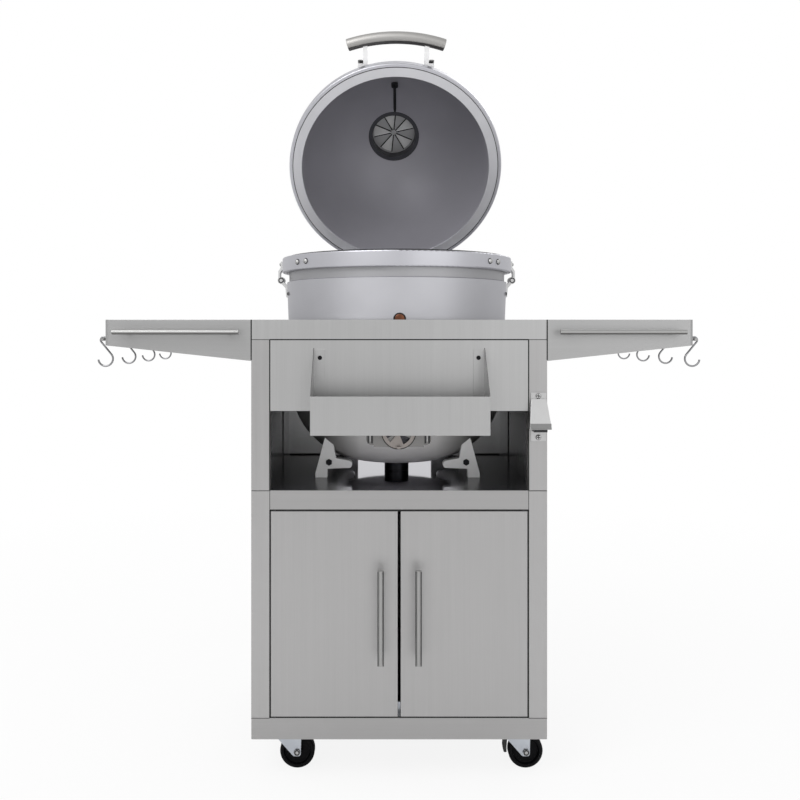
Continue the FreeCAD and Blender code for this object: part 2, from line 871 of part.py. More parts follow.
def door_handles():
    bar = rod(
        "door_bar", "handle_diameter / 2", "handle_length",
        "door_inner + handle_inset", "-handle_stand", "handle_middle - handle_length / 2",
    )
    posts = [
        rod(
            f"door_stub_{i}", "handle_post / 2", "handle_stand", "door_inner + handle_inset", "-handle_stand",
            f"handle_middle + {side} * handle_post_pitch / 2", along="Y",
        )
        for i, side in enumerate((-1, 1))
    ]
    right = group("door_handle_solids", bar_with_posts("door", bar, posts))
    node("door_handle_right", right)
    node("door_handle_left", mirrored("door_handle_left_copy", right), placed=True)


def door_pins():
    """Pivot pins above and below each door, the lower ones with a collar that carries the door."""
    lower = fuse(
        "lower_pin",
        [
            rod("lower_collar", "pin_diameter", "door_bottom_gap - slip", "pivot_x", "pivot_back", "base_top"),
            rod("lower_shank", "pin_diameter / 2", "pin_length", "pivot_x", "pivot_back", "base_top"),
        ],
    )
    upper = fuse(
        "upper_pin",
        [
            rod("upper_collar", "pin_diameter", "door_top_gap - slip", "pivot_x", "pivot_back",
                "bay_skirt_bottom - door_top_gap + slip"),
            rod("upper_shank", "pin_diameter / 2", "pin_length", "pivot_x", "pivot_back",
                "bay_skirt_bottom - pin_length"),
        ],
    )
    right = group("pins_right", [lower, upper])
    node("door_pins", group("pins_all", [right, mirrored("pins_left", right)]))


def door_catch():
    """A magnetic catch on the cabinet floor behind the two doors' meeting edges."""
    foot = slab("catch_foot", "-16", "16", "door_thickness + slip", "door_thickness + 22", "base_top", "base_top + 3")
    block = slab("catch_block", "-12", "12", "door_thickness + slip", "door_thickness + 9", "base_top", "base_top + 26")
    node("door_catch", fuse("door_catch_body", [foot, block]))


# Casters


CORNERS = {"front_left": (-1, 0), "front_right": (1, 0), "rear_left": (-1, 1), "rear_right": (1, 1)}


def caster_y(row):
    """The swivel's distance behind the cart's front face."""
    return "cart_depth - caster_y" if row else "caster_y"


def caster_mounts():
    """Corner plates inside the base skirt, and the casters' own top plates under them."""
    plates = []
    for name, (side, row) in CORNERS.items():
        centre_x = f"{side} * caster_x"
        reach = "half_width - gauge"
        x_low, x_high = ("caster_x - 45", reach) if side > 0 else (f"-({reach})", "45 - caster_x")
        y_low, y_high = ("gauge", "caster_y + 45")
        if row:
            y_low, y_high = ("cart_depth - caster_y - 45", "cart_depth - gauge")
        corner = slab(f"corner_{name}", x_low, x_high, y_low, y_high, "caster_height", "caster_height + mount_plate")
        top = slab(
            f"plate_{name}", f"{centre_x} - 30", f"{centre_x} + 30", f"{caster_y(row)} - 30", f"{caster_y(row)} + 30",
            "caster_height - caster_plate", "caster_height",
        )
        for thing in (corner, top):
            bore = rod(
                f"bore_{thing.Name}", "kingpin_diameter / 2 + pin_play", "4 * mount_plate",
                centre_x, caster_y(row), "caster_height - 2 * mount_plate",
            )
            plates.append(cut(f"bored_{thing.Name}", thing, bore))
    node("caster_mounts", group("caster_mount_plates", plates))


def caster_fork(name, braked):
    """A pressed fork drawn about its swivel axis: ball race, two tapered cheeks, kingpin and axle bolt,
    and on a braked caster the pedal's pin."""
    head = new_body(name + "_head")
    race = new_sketch(head, "XZ", name + "_race")
    draw_outline(
        race,
        [
            ("0", "wheel_diameter + 8"),
            ("24", "wheel_diameter + 8"),
            ("24", "wheel_diameter + 11"),
            ("20", "wheel_diameter + 14"),
            ("20", "caster_height - caster_plate - slip"),
            ("kingpin_diameter / 2", "caster_height - caster_plate - slip"),
            ("kingpin_diameter / 2", "caster_height + mount_plate + 1"),
            ("0", "caster_height + mount_plate + 1"),
        ],
    )
    revolve(head, race)
    cheek = new_body(name + "_cheek")
    shape = new_sketch(cheek, "XZ", name + "_cheek_outline", "wheel_width / 2 + fork_gap")
    draw_outline(
        shape,
        [
            ("pedal_x - 7", "wheel_diameter + 9"),
            ("pedal_x - 7", "wheel_diameter + 1"),
            ("wheel_trail - 8", "axle_level - 9"),
            ("wheel_trail + 8", "axle_level - 9"),
            ("wheel_trail + 9", "wheel_diameter + 1"),
            ("18", "wheel_diameter + 9"),
        ],
    )
    pad(cheek, shape, "fork_gauge")
    fillet(cheek, lambda edge: abs(edge.BoundBox.ZMax - value("axle_level - 9")) < 0.01 and edge.BoundBox.XLength < 0.01, "6")
    crown = slab(
        name + "_crown", "pedal_x - 7", "wheel_trail", "-wheel_width / 2 - fork_gap - fork_gauge",
        "wheel_width / 2 + fork_gap + fork_gauge", "wheel_diameter + 5", "wheel_diameter + 9",
    )
    shell = fuse(name + "_shell", [head, cheek, mirrored(name + "_far_cheek", cheek, (0, 1, 0)), crown])
    half = "wheel_width / 2 + fork_gap + fork_gauge"
    axle = rod(name + "_axle", "axle_diameter / 2", f"2 * ({half})", "wheel_trail", f"-({half})", "axle_level", along="Y")
    bored = cut(name + "_bored", shell, axle)
    heads = []
    for i, start in enumerate((f"-({half}) - 4", half)):
        nut = doc.addObject("Part::Prism", f"{name}_nut_{i}")
        nut.Polygon = 6
        bind(nut, "Circumradius", "axle_diameter * 0.9")
        bind(nut, "Height", "4")
        nut.Placement.Rotation = FreeCAD.Rotation(FreeCAD.Vector(1, 0, 0), -90)
        heads.append(move(nut, "wheel_trail", start, "axle_level"))
    solids = [bored, fuse(name + "_bolt", [axle] + heads)]
    if braked:
        pin = rod(
            name + "_pedal_pin", "pedal_pin / 2", f"2 * ({half})", "pedal_x", f"-({half})", "pedal_level", along="Y"
        )
        solids = [cut(name + "_pinned", bored, pin), solids[1], pin]
    return group(name + "_group", solids)


def caster_wheel(name):
    """A crowned wheel with a recessed web and a hub, bored for the axle, drawn about its axle along Z."""
    body = new_body(name)
    profile = new_sketch(body, "XZ", name + "_profile")
    draw_outline(
        profile,
        [
            ("axle_diameter / 2 + pin_play", "-wheel_width / 2 - 1.5"),
            ("11", "-wheel_width / 2 - 1.5"),
            ("11", "-5"),
            ("27", "-5"),
            ("29", "3 - wheel_width / 2"),
            ("29", "-wheel_width / 2"),
            ("wheel_diameter / 2 - 4", "-wheel_width / 2"),
            ("wheel_diameter / 2", "4 - wheel_width / 2"),
            ("wheel_diameter / 2", "wheel_width / 2 - 4"),
            ("wheel_diameter / 2 - 4", "wheel_width / 2"),
            ("29", "wheel_width / 2"),
            ("29", "wheel_width / 2 - 3"),
            ("27", "5"),
            ("11", "5"),
            ("11", "wheel_width / 2 + 1.5"),
            ("axle_diameter / 2 + pin_play", "wheel_width / 2 + 1.5"),
        ],
    )
    revolve(body, profile)
    body.Placement.Rotation = FreeCAD.Rotation(FreeCAD.Vector(1, 0, 0), 90)
    return body


def brake_pedal(name):
    """A toe pedal in front of the wheel, whose eye turns on a cross pin between the fork's cheeks."""
    body = new_body(name)
    shape = new_sketch(body, "XZ", name + "_shape")
    draw_outline(
        shape,
        [
            ("pedal_x - 5", "pedal_level", "5.3", 1),
            ("pedal_x + 5", "pedal_level"),
            ("pedal_x + 3", "pedal_level - 14"),
            ("pedal_x + 2", "axle_level + 8"),
            ("pedal_x + 2", "axle_level - 4"),
            ("pedal_x - 4", "axle_level - 4"),
            ("pedal_x - 6", "axle_level + 8"),
            ("pedal_x - 5", "axle_level + 20"),
        ],
    )
    pad(body, shape, "wheel_width - 8", middle=True)
    eye = draw_circle(new_sketch(body, "XZ", name + "_eye"), "pedal_x", "pedal_level", "pedal_pin / 2 + pin_play")
    pocket(body, eye, "2 * wheel_width", middle=True)
    return body


def casters():
    for corner, (side, row) in CORNERS.items():
        place = (f"{side} * caster_x", f"front_y + {caster_y(row)}")
        node(f"caster_fork_{corner}", move(caster_fork(f"fork_{corner}", side > 0), *place), placed=True)
        wheel = caster_wheel(f"wheel_{corner}")
        node(f"caster_wheel_{corner}", move(wheel, place[0] + " + wheel_trail", place[1], "axle_level"), placed=True)
        if side > 0:
            pedal = brake_pedal(f"pedal_{corner}")
            node(f"brake_pedal_{'rear' if row else 'front'}", move(pedal, *place), placed=True)


# Grill body


def bowl_outline(sketch, inner):
    """The bowl's section: outside only as a solid envelope, or with its cavity."""
    points = [
        ("0", "bowl_bottom"),
        ("bowl_flat", "bowl_bottom", "bowl_knuckle", -1),
        ("waist_outer", "bowl_corner_level"),
        ("shoulder_outer", "shoulder_level"),
        ("neck_outer", "shoulder_level + 2"),
        ("neck_outer", "rim_level - rim_height"),
        ("rim_outer", "rim_level - rim_height"),
        ("rim_outer", "rim_level"),
    ]
    if inner:
        points[0] = ("drain_hole / 2", "bowl_bottom")
        points += [
            ("bowl_inner", "rim_level"),
            ("bowl_inner", "bowl_corner_level + 40"),
            ("waist_outer - bowl_wall", "bowl_corner_level", "bowl_knuckle - bowl_wall", 1),
            ("bowl_flat", "bowl_bottom + bowl_wall"),
            ("drain_hole / 2", "bowl_bottom + bowl_wall"),
        ]
    else:
        points += [("0", "rim_level")]
    return draw_outline(sketch, points)


def bowl_envelope():
    body = new_body("bowl_envelope")
    revolve(body, bowl_outline(new_sketch(body, "XZ", "bowl_envelope_outline"), False))
    return move(body, y="grill_y")


def bowl():
    body = new_body("bowl_body")
    revolve(body, bowl_outline(new_sketch(body, "XZ", "bowl_outline"), True))
    port = draw_circle(new_sketch(body, "XZ", "draft_port"), "0", "vent_level", "vent_port")
    pocket(body, port, "waist_outer + 20", reverse=False)
    lugs = []
    for i in range(4):
        lug = slab(
            f"grid_lug_{i}", "bowl_inner - 14", "bowl_inner + 2", "-8", "8",
            "grid_level - grid_wire / 2 - slip - 10", "grid_level - grid_wire / 2 - slip",
        )
        holder = group(f"lug_turned_{i}", [lug])
        holder.Placement.Rotation = FreeCAD.Rotation(FreeCAD.Vector(0, 0, 1), 45 + 90 * i)
        lugs.append(holder)
    node("bowl", move(fuse("bowl_with_lugs", [body] + lugs), y="front_y + grill_y"), placed=True)


def ring(name, inner, outer, z_low, height):
    """A plain ring about the grill's axis."""
    body = new_body(name)
    face = new_sketch(body, "XY", name + "_face", z_low)
    draw_circle(face, "0", "0", outer)
    draw_circle(face, "0", "0", inner)
    pad(body, face, height)
    return body


def bowl_band():
    """The thick hoop round the bowl's rim, with softened edges."""
    body = ring("bowl_band_body", "rim_outer", "band_outer", "rim_level - rim_height", "rim_height")
    fillet(body, lambda edge: isinstance(edge.Curve, Part.Circle) and edge.Curve.Radius > value("rim_outer") + 1, "3")
    node("bowl_band", move(body, y="front_y + grill_y"), placed=True)


def rim_gasket():
    body = ring("gasket_body", "gasket_inner", "gasket_outer", "rim_level", "gasket_height")
    node("rim_gasket", move(body, y="front_y + grill_y"), placed=True)


def side_brackets():
    """A strap each side, from the hoop out round a loop and back to the bowl's shoulder."""
    body = new_body("side_bracket")
    strap = new_sketch(body, "XZ", "strap_outline")
    draw_outline(
        strap,
        [
            ("band_outer - 1", "rim_level - 6"),
            ("band_outer - 1", "rim_level - 24"),
            ("band_outer + 6", "rim_level - 34"),
            ("band_outer + 6", "rim_level - 48"),
            ("shoulder_outer + 1", "rim_level - 62"),
            ("shoulder_outer - 6", "rim_level - 68"),
            ("shoulder_outer - 6", "rim_level - 92"),
            ("shoulder_outer + 2", "rim_level - 92"),
            ("shoulder_outer + 4", "rim_level - 70"),
            ("band_outer + 10", "rim_level - 52"),
            ("band_outer + 10", "rim_level - 30"),
            ("band_outer + 4", "rim_level - 20"),
            ("band_outer + 4", "rim_level - 6"),
        ],
    )
    pad(body, strap, "30", middle=True)
    move(body, y="grill_y")
    hoop = ring("bracket_seat", "1", "band_outer", "rim_level - rim_height", "rim_height + 5")
    seated = cut("bracket_on_hoop", cut("bracket_on_bowl", body, bowl_envelope()), move(hoop, y="grill_y"))
    node("side_brackets", group("side_bracket_pair", [seated, mirrored("side_bracket_far", seated)]))


def feet():
    """Four cast brackets from the bay floor to the bowl, each with an arm that reaches in under it."""
    body = new_body("foot_body")
    outline = new_sketch(body, "XZ", "foot_outline")
    draw_outline(
        outline,
        [
            ("foot_x + 4", "bay_floor_level"),
            ("foot_x + 31", "bay_floor_level"),
            ("foot_x + 31", "bay_floor_level + 10"),
            ("foot_x + 9", "bay_floor_level + 92"),
            ("foot_x - 7", "bay_floor_level + 92"),
            ("foot_x - 16", "bay_floor_level + 44"),
            ("foot_x - 48", "bay_floor_level + 38", "9", -1),
            ("foot_x - 48", "bay_floor_level + 22"),
            ("foot_x + 4", "bay_floor_level + 20"),
        ],
    )
    pad(body, outline, "foot_width", middle=True)
    bore = new_sketch(body, "XZ", "foot_bore")
    draw_circle(bore, "foot_x", "foot_bolt_level", "foot_bolt / 2")
    pocket(body, bore, "2 * foot_width", middle=True)
    move(body, y="grill_y - foot_y")
    seated = cut("foot_front_right", body, bowl_envelope())
    far = mirrored("foot_rear_right", seated, (0, 1, 0), "grill_y")
    pairs = [seated, far, mirrored("foot_front_left", seated), mirrored("foot_rear_left", far)]
    node("grill_feet", group("feet_group", pairs))


def drain_tube():
    tube = cut(
        "drain_tube_cut",
        rod("drain_outside", "drain_outer / 2", "bowl_bottom - bay_floor_level", "0", "grill_y", "bay_floor_level"),
        rod("drain_inside", "drain_hole / 2", "bowl_bottom - bay_floor_level - 4", "0", "grill_y", "bay_floor_level + 4"),
    )
    node("drain_tube", tube)


def draw_wedges(sketch, x, y, inner, outer, angle, count, start):
    """Ring sectors about a centre, each closed by two arcs and two radial lines."""
    centre = FreeCAD.Vector(value(x), value(y), 0)
    for i in range(count):
        low = math.radians(start + 360 * i / count)
        high = low + math.radians(value(angle))
        first = sketch.GeometryCount
        arcs = []
        for radius in (value(inner), value(outer)):
            arcs.append(Part.ArcOfCircle(Part.Circle(centre, FreeCAD.Vector(0, 0, 1), radius), low, high))
        sketch.addGeometry(arcs[0])
        sketch.addGeometry(arcs[1])
        sketch.addGeometry(Part.LineSegment(arcs[0].StartPoint, arcs[1].StartPoint))
        sketch.addGeometry(Part.LineSegment(arcs[0].EndPoint, arcs[1].EndPoint))
        for a, b, c, d in ((0, 1, 2, 1), (1, 1, 2, 2), (0, 2, 3, 1), (1, 2, 3, 2)):
            sketch.addConstraint(Sketcher.Constraint("Coincident", first + a, b, first + c, d))
        pin_point(sketch, first, 3, x, y)
        pin_point(sketch, first + 1, 3, x, y)
        set_radius(sketch, first, inner)
        set_radius(sketch, first + 1, outer)
        for line, turned in ((first + 2, low), (first + 3, high)):
            sketch.addConstraint(Sketcher.Constraint("Angle", line, turned))
    return sketch


def draft_housing():
    """The lower vent: a short box grown out of the bowl, closed by a fixed slotted face."""
    body = new_body("draft_box")
    block = new_sketch(body, "XZ", "draft_block", "-vent_face")
    draw_rectangle(
        block, "-vent_width / 2", "vent_width / 2", "vent_level - vent_height / 2", "vent_level + vent_height / 2"
    )
    pad(body, block, "60", reverse=True)
    ears = new_sketch(body, "XZ", "draft_ears", "-vent_face")
    end = "vent_width / 2 + 16"
    half = "vent_height / 2 - 4"
    draw_outline(
        ears,
        [
            (f"14 - ({end})", f"vent_level - ({half})"),
            (f"{end} - 14", f"vent_level - ({half})", "14", -1),
            (end, f"vent_level - ({half}) + 14"),
            (end, f"vent_level + {half} - 14", "14", -1),
            (f"{end} - 14", f"vent_level + {half}"),
            (f"14 - ({end})", f"vent_level + {half}", "14", -1),
            (f"-({end})", f"vent_level + {half} - 14"),
            (f"-({end})", f"vent_level - ({half}) + 14", "14", -1),
        ],
    )
    pad(body, ears, "vent_gauge", reverse=True)
    duct = new_sketch(body, "XZ", "draft_duct", "-vent_face - vent_gauge")
    draw_circle(duct, "0", "vent_level", "vent_port")
    pocket(body, duct, "80", reverse=False)
    slots = new_sketch(body, "XZ", "draft_slots", "1 - vent_face")
    draw_wedges(slots, "0", "vent_level", "8", "vent_port - 3", "60", 3, 30)
    pocket(body, slots, "vent_gauge + 2")
    post = new_sketch(body, "XZ", "draft_post", "-vent_face")
    draw_circle(post, "0", "vent_level", "3")
    pad(body, post, "vent_gauge + 4")
    node("draft_housing", cut("draft_housing_cut", body, bowl_envelope()))


def draft_damper():
    """The round wheel that turns over the fixed slots, with a finger tab."""
    body = new_body("draft_wheel")
    disc = new_sketch(body, "XZ", "draft_disc", "slip - vent_face")
    draw_circle(disc, "0", "vent_level", "vent_wheel")
    draw_circle(disc, "0", "vent_level", "3 + pin_play")
    pad(body, disc, "vent_gauge - 1")
    slots = new_sketch(body, "XZ", "wheel_slots", "slip - vent_face + vent_gauge")
    draw_wedges(slots, "0", "vent_level", "8", "vent_port - 3", "60", 3, 50)
    pocket(body, slots, "2 * vent_gauge")
    tab = new_sketch(body, "XZ", "wheel_tab", "slip - vent_face")
    draw_rectangle(tab, "-4", "4", "vent_level - vent_wheel + 2", "vent_level - vent_wheel + 7")
    pad(body, tab, "vent_gauge + 9")
    node("draft_damper", body)


def bar_grid(name, radius, level, wire, pitch, half_count):
    """A rim of wire with parallel bars inside it, cut to the rim's circle."""
    rim = doc.addObject("Part::Torus", name + "_rim")
    bind(rim, "Radius1", f"{radius} - {wire} / 2")
    bind(rim, "Radius2", f"{wire} / 2")
    move(rim, "0", "grill_y", level)
    bars = [rim]
    reach = value(f"{radius} - {wire} / 2")
    for i in range(-half_count, half_count + 1):
        offset = i * value(pitch)
        if abs(offset) > reach - value(wire):
            continue
        half = f"sqrt(({radius} - {wire} / 2)^2 - ({i} * {pitch})^2)"
        bars.append(
            rod(f"{name}_bar_{i + half_count}", f"{wire} / 2 - 0.4", f"2 * {half}",
                f"{i} * {pitch}", f"grill_y - {half}", level, along="Y")
        )
    return fuse(name + "_wires", bars)


def grates():
    """The cooking grid, which rests on the bowl's lugs, and the charcoal grate in the bowl's knuckle."""
    node("cooking_grid", bar_grid("grid", "grid_radius", "grid_level", "grid_wire", "22", 10))
    node("charcoal_grate", bar_grid("grate", "grate_radius", "grate_level", "grate_wire", "24", 8))


# Lid, drawn closed about its own axis, with Z = 0 on the parting plane


def lid_outline(sketch, inner):
    points = [
        ("bowl_inner", "0"),
        ("rim_outer", "0"),
        ("rim_outer", "lid_band_height"),
        ("rim_outer - 2", "lid_band_height"),
        ("rim_outer - 2", "lid_wall_height", "dome_outer_radius", -1),
        ("lid_land_outer", "lid_land_height"),
    ]
    if inner:
        points += [
            ("lid_bore", "lid_land_height"),
            ("lid_bore", "lid_inner_height", "dome_inner_radius", 1),
            ("bowl_inner", "lid_wall_height"),
        ]
    else:
        points[0] = ("0", "0")
        points += [("0", "lid_land_height")]
    return draw_outline(sketch, points)


def lid_envelope():
    body = new_body("lid_envelope")
    revolve(body, lid_outline(new_sketch(body, "XZ", "lid_envelope_outline"), False))
    return body


def dome_point():
    """Where the thermometer's axis leaves the dome: distance from the lid's axis, and the axis's tilt."""
    radius = value("dome_outer_radius")
    centre_out = value("rim_outer - 2") - radius
    rise = value("gauge_height - lid_wall_height")
    out = centre_out + math.sqrt(radius * radius - rise * rise)
    tilt = math.degrees(math.asin(rise / radius))
    return out, tilt


def lid_shell():
    body = new_body("lid_body")
    revolve(body, lid_outline(new_sketch(body, "XZ", "lid_outline"), True))
    bore = rod("gauge_bore", "stem_diameter / 2 + 1", "120", "0", "0", "-90")
    place_on_dome(bore, -60)
    lid_node("lid_shell", cut("lid_bored", body, bore))


def place_on_dome(thing, outward, spin=0):
    """Turn a thing's Z axis to the dome's normal at the thermometer, spun about it, and set it outward."""
    out, tilt = dome_point()
    normal = FreeCAD.Vector(0, -math.cos(math.radians(tilt)), math.sin(math.radians(tilt)))
    foot = FreeCAD.Vector(0, -out, value("gauge_height"))
    thing.setExpression("Placement.Base.z", None)
    thing.Placement = FreeCAD.Placement(
        foot + normal * outward,
        FreeCAD.Rotation(FreeCAD.Vector(0, 0, 1), normal) * FreeCAD.Rotation(FreeCAD.Vector(0, 0, 1), spin),
    )
    return thing


def lid_band():
    body = ring("lid_band_body", "rim_outer", "band_outer", "0", "lid_band_height")
    fillet(body, lambda edge: isinstance(edge.Curve, Part.Circle) and edge.Curve.Radius > value("rim_outer") + 1, "3")
    lid_node("lid_band", body)


def lid_handle():
    """An arched tube that follows the lid's front, with plugged ends."""
    body = new_body("grip_body")
    path = new_sketch(body, "XY", "grip_path", "grip_height")
    centre = value("grip_radius - grip_centre")
    half = math.asin(value("grip_length / 2 / grip_radius"))
    arc = Part.ArcOfCircle(
        Part.Circle(FreeCAD.Vector(0, centre, 0), FreeCAD.Vector(0, 0, 1), value("grip_radius")),
        1.5 * math.pi - half, 1.5 * math.pi + half,
    )
    path.addGeometry(arc)
    pin_point(path, 0, 3, "0", "grip_radius - grip_centre")
    set_radius(path, 0, "grip_radius")
    for end, sign in ((1, "-"), (2, "")):
        index = path.addConstraint(
            Sketcher.Constraint("DistanceX", -1, 1, 0, end, value(f"{sign}grip_length / 2"))
        )
        path.setExpression(f"Constraints[{index}]", linked(f"{sign}grip_length / 2"))
    section = new_sketch(body, "YZ", "grip_section")
    draw_circle(section, "-grip_centre", "grip_height", "grip_diameter / 2")
    pipe = body.newObject("PartDesign::AdditivePipe", "grip_pipe")
    pipe.Profile = section
    pipe.Spine = path
    lid_node("lid_handle", body)
    return body


def grip_solid():
    """The handle's tube as a plain ring, used to shape what seats on it."""
    tool = doc.addObject("Part::Torus", "grip_tool")
    bind(tool, "Radius1", "grip_radius")
    bind(tool, "Radius2", "grip_diameter / 2")
    return move(tool, "0", "grip_radius - grip_centre", "grip_height")


def handle_brackets():
    """Two posts from the hoop and dome to the handle, each with a foot turned outward for its bolt."""
    post = slab(
        "grip_post", "grip_post_x - grip_post_width / 2", "grip_post_x + grip_post_width / 2",
        "-grip_centre + 16", "-rim_outer + 30", "grip_height - 10", "grip_height + 10",
    )
    foot = slab(
        "grip_foot_block", "grip_post_x", "grip_post_x + grip_foot", "-rim_outer", "-rim_outer + 40",
        "grip_height - 10", "grip_height + 10",
    )
    hoop = ring("grip_hoop_seat", "1", "band_outer", "0", "lid_band_height")
    blank = fuse("grip_blank", [post, foot])
    for name, tool in (("grip_a", lid_envelope()), ("grip_b", hoop), ("grip_c", grip_solid())):
        blank = cut(name, blank, tool)
    bolt = doc.addObject("Part::Prism", "grip_bolt_head")
    bolt.Polygon = 6
    bind(bolt, "Circumradius", "grip_bolt / 2")
    bind(bolt, "Height", "8")
    bolt.Placement.Rotation = FreeCAD.Rotation(FreeCAD.Vector(1, 0, 0), 90)
    move(bolt, "grip_post_x + grip_foot - grip_bolt / 2", "-rim_outer", "grip_height")
    right = group("grip_right", [blank, bolt])
    lid_node("handle_brackets", group("grip_pair", [right, mirrored("grip_far", right)]))


def thermometer():
    """Bezel with a recessed dial on the dome, a stem with a nut inside, and the pointer on its spindle."""
    case = new_body("gauge_case")
    profile = new_sketch(case, "XZ", "gauge_profile")
    inside = "(dome_outer_radius - dome_inner_radius)"
    draw_outline(
        profile,
        [
            ("0", f"-{inside} - stem_length"),
            ("stem_diameter / 2 - 1.5", f"-{inside} - stem_length"),
            ("stem_diameter / 2", f"-{inside} - stem_length + 10"),
            ("stem_diameter / 2", f"-{inside} - 10"),
            ("stem_nut / 2", f"-{inside} - 10"),
            ("stem_nut / 2", f"-{inside}"),
            ("stem_diameter / 2", f"-{inside}"),
            ("stem_diameter / 2", "3"),
            ("gauge_diameter / 2 - 6", "3"),
            ("gauge_diameter / 2", "8"),
            ("gauge_diameter / 2", "14"),
            ("gauge_diameter / 2 - 4", "17"),
            ("gauge_diameter / 2 - 4", "13"),
            ("2", "13"),
            ("2", "16"),
            ("0", "16"),
        ],
    )
    revolve(case, profile)
    case_seat = rod("gauge_boss", "gauge_diameter / 2 - 14", "14", "0", "0", "-11")
    trimmed = cut("gauge_boss_cut", place_on_dome(case_seat, -11), lid_envelope())
    stem_room = place_on_dome(rod("stem_room", "stem_diameter / 2", "30", "0", "0", "-15"), -15)
    boss = cut("gauge_boss_ring", trimmed, stem_room)
    lid_node("thermometer", group("gauge_group", [place_on_dome(case, 0), boss]))
    pointer = new_body("pointer_body")
    hand = new_sketch(pointer, "XY", "pointer_hand", "14")
    draw_outline(hand, [("-1.5", "-8"), ("1.5", "-8"), ("0.6", "26"), ("-0.6", "26")])
    pad(pointer, hand, "0.8")
    hub = draw_circle(new_sketch(pointer, "XY", "pointer_hub", "13.3"), "0", "0", "4")
    pad(pointer, hub, "2")
    bore = draw_circle(new_sketch(pointer, "XY", "pointer_bore", "13"), "0", "0", "2 + pin_play")
    pocket(pointer, bore, "5", reverse=True)
    lid_node("thermometer_pointer", group("pointer_group", [place_on_dome(pointer, 0, value("pointer_sweep") / 2)]))


def vent_base():
    """The chimney collar in the dome's top, with a fixed disc of wedge slots across it."""
    body = new_body("vent_collar")
    profile = new_sketch(body, "XZ", "collar_profile")
    draw_outline(
        profile,
        [
            ("vent_bore", "lid_inner_height"),
            ("lid_bore", "lid_inner_height"),
            ("lid_bore", "lid_land_height"),
            ("lid_land_outer", "lid_land_height"),
            ("lid_land_outer", "lid_land_height + 4"),
            ("lid_bore", "lid_land_height + 6"),
            ("lid_bore", "vent_tube_top"),
            ("vent_bore", "vent_tube_top"),
        ],
    )
    revolve(body, profile)
    disc = new_sketch(body, "XY", "collar_disc", "vent_disc_height")
    draw_circle(disc, "0", "0", "vent_bore + 1")
    pad(body, disc, "3")
    slots = new_sketch(body, "XY", "collar_slots", "vent_disc_height - 1")
    draw_wedges(slots, "0", "0", "slot_inner", "slot_outer", "slot_angle", 5, 72)
    pocket(body, slots, "6", reverse=True)
    spindle = draw_circle(new_sketch(body, "XY", "collar_spindle", "vent_disc_height"), "0", "0", "4")
    pad(body, spindle, "cap_gauge + vent_tube_top - vent_disc_height + 2")
    lid_node("vent_base", body)


def vent_damper():
    """The cap that turns on the collar: slotted top, short skirt outside the tube and a ridge to grip."""
    body = new_body("vent_cap")
    profile = new_sketch(body, "XZ", "cap_profile")
    draw_outline(
        profile,
        [
            ("4 + pin_play", "vent_tube_top + slip"),
            ("lid_bore + slip", "vent_tube_top + slip"),
            ("lid_bore + slip", "vent_tube_top - 10"),
            ("cap_radius", "vent_tube_top - 10"),
            ("cap_radius", "vent_tube_top + slip"),
            ("cap_radius - 3", "vent_tube_top + slip + cap_gauge"),
            ("4 + pin_play", "vent_tube_top + slip + cap_gauge"),
        ],
    )
    revolve(body, profile)
    slots = new_sketch(body, "XY", "cap_slots", "vent_tube_top - 1")
    start = 72 + DIMENSIONS["slot_offset"]
    draw_wedges(slots, "0", "0", "slot_inner", "slot_outer", "slot_angle", 5, start)
    pocket(body, slots, "3 * cap_gauge", reverse=True)
    ridge = new_sketch(body, "XZ", "cap_ridge")
    top = "vent_tube_top + slip + cap_gauge"
    draw_outline(
        ridge,
        [
            ("slot_outer + 2", top),
            ("cap_radius - 4", top),
            ("cap_radius - 6", f"{top} + knob_height / 2"),
            ("slot_outer + 6", f"{top} + knob_height / 2"),
        ],
    )
    pad(body, ridge, "8", middle=True)
    lid_node("vent_damper", body)


# Hinge


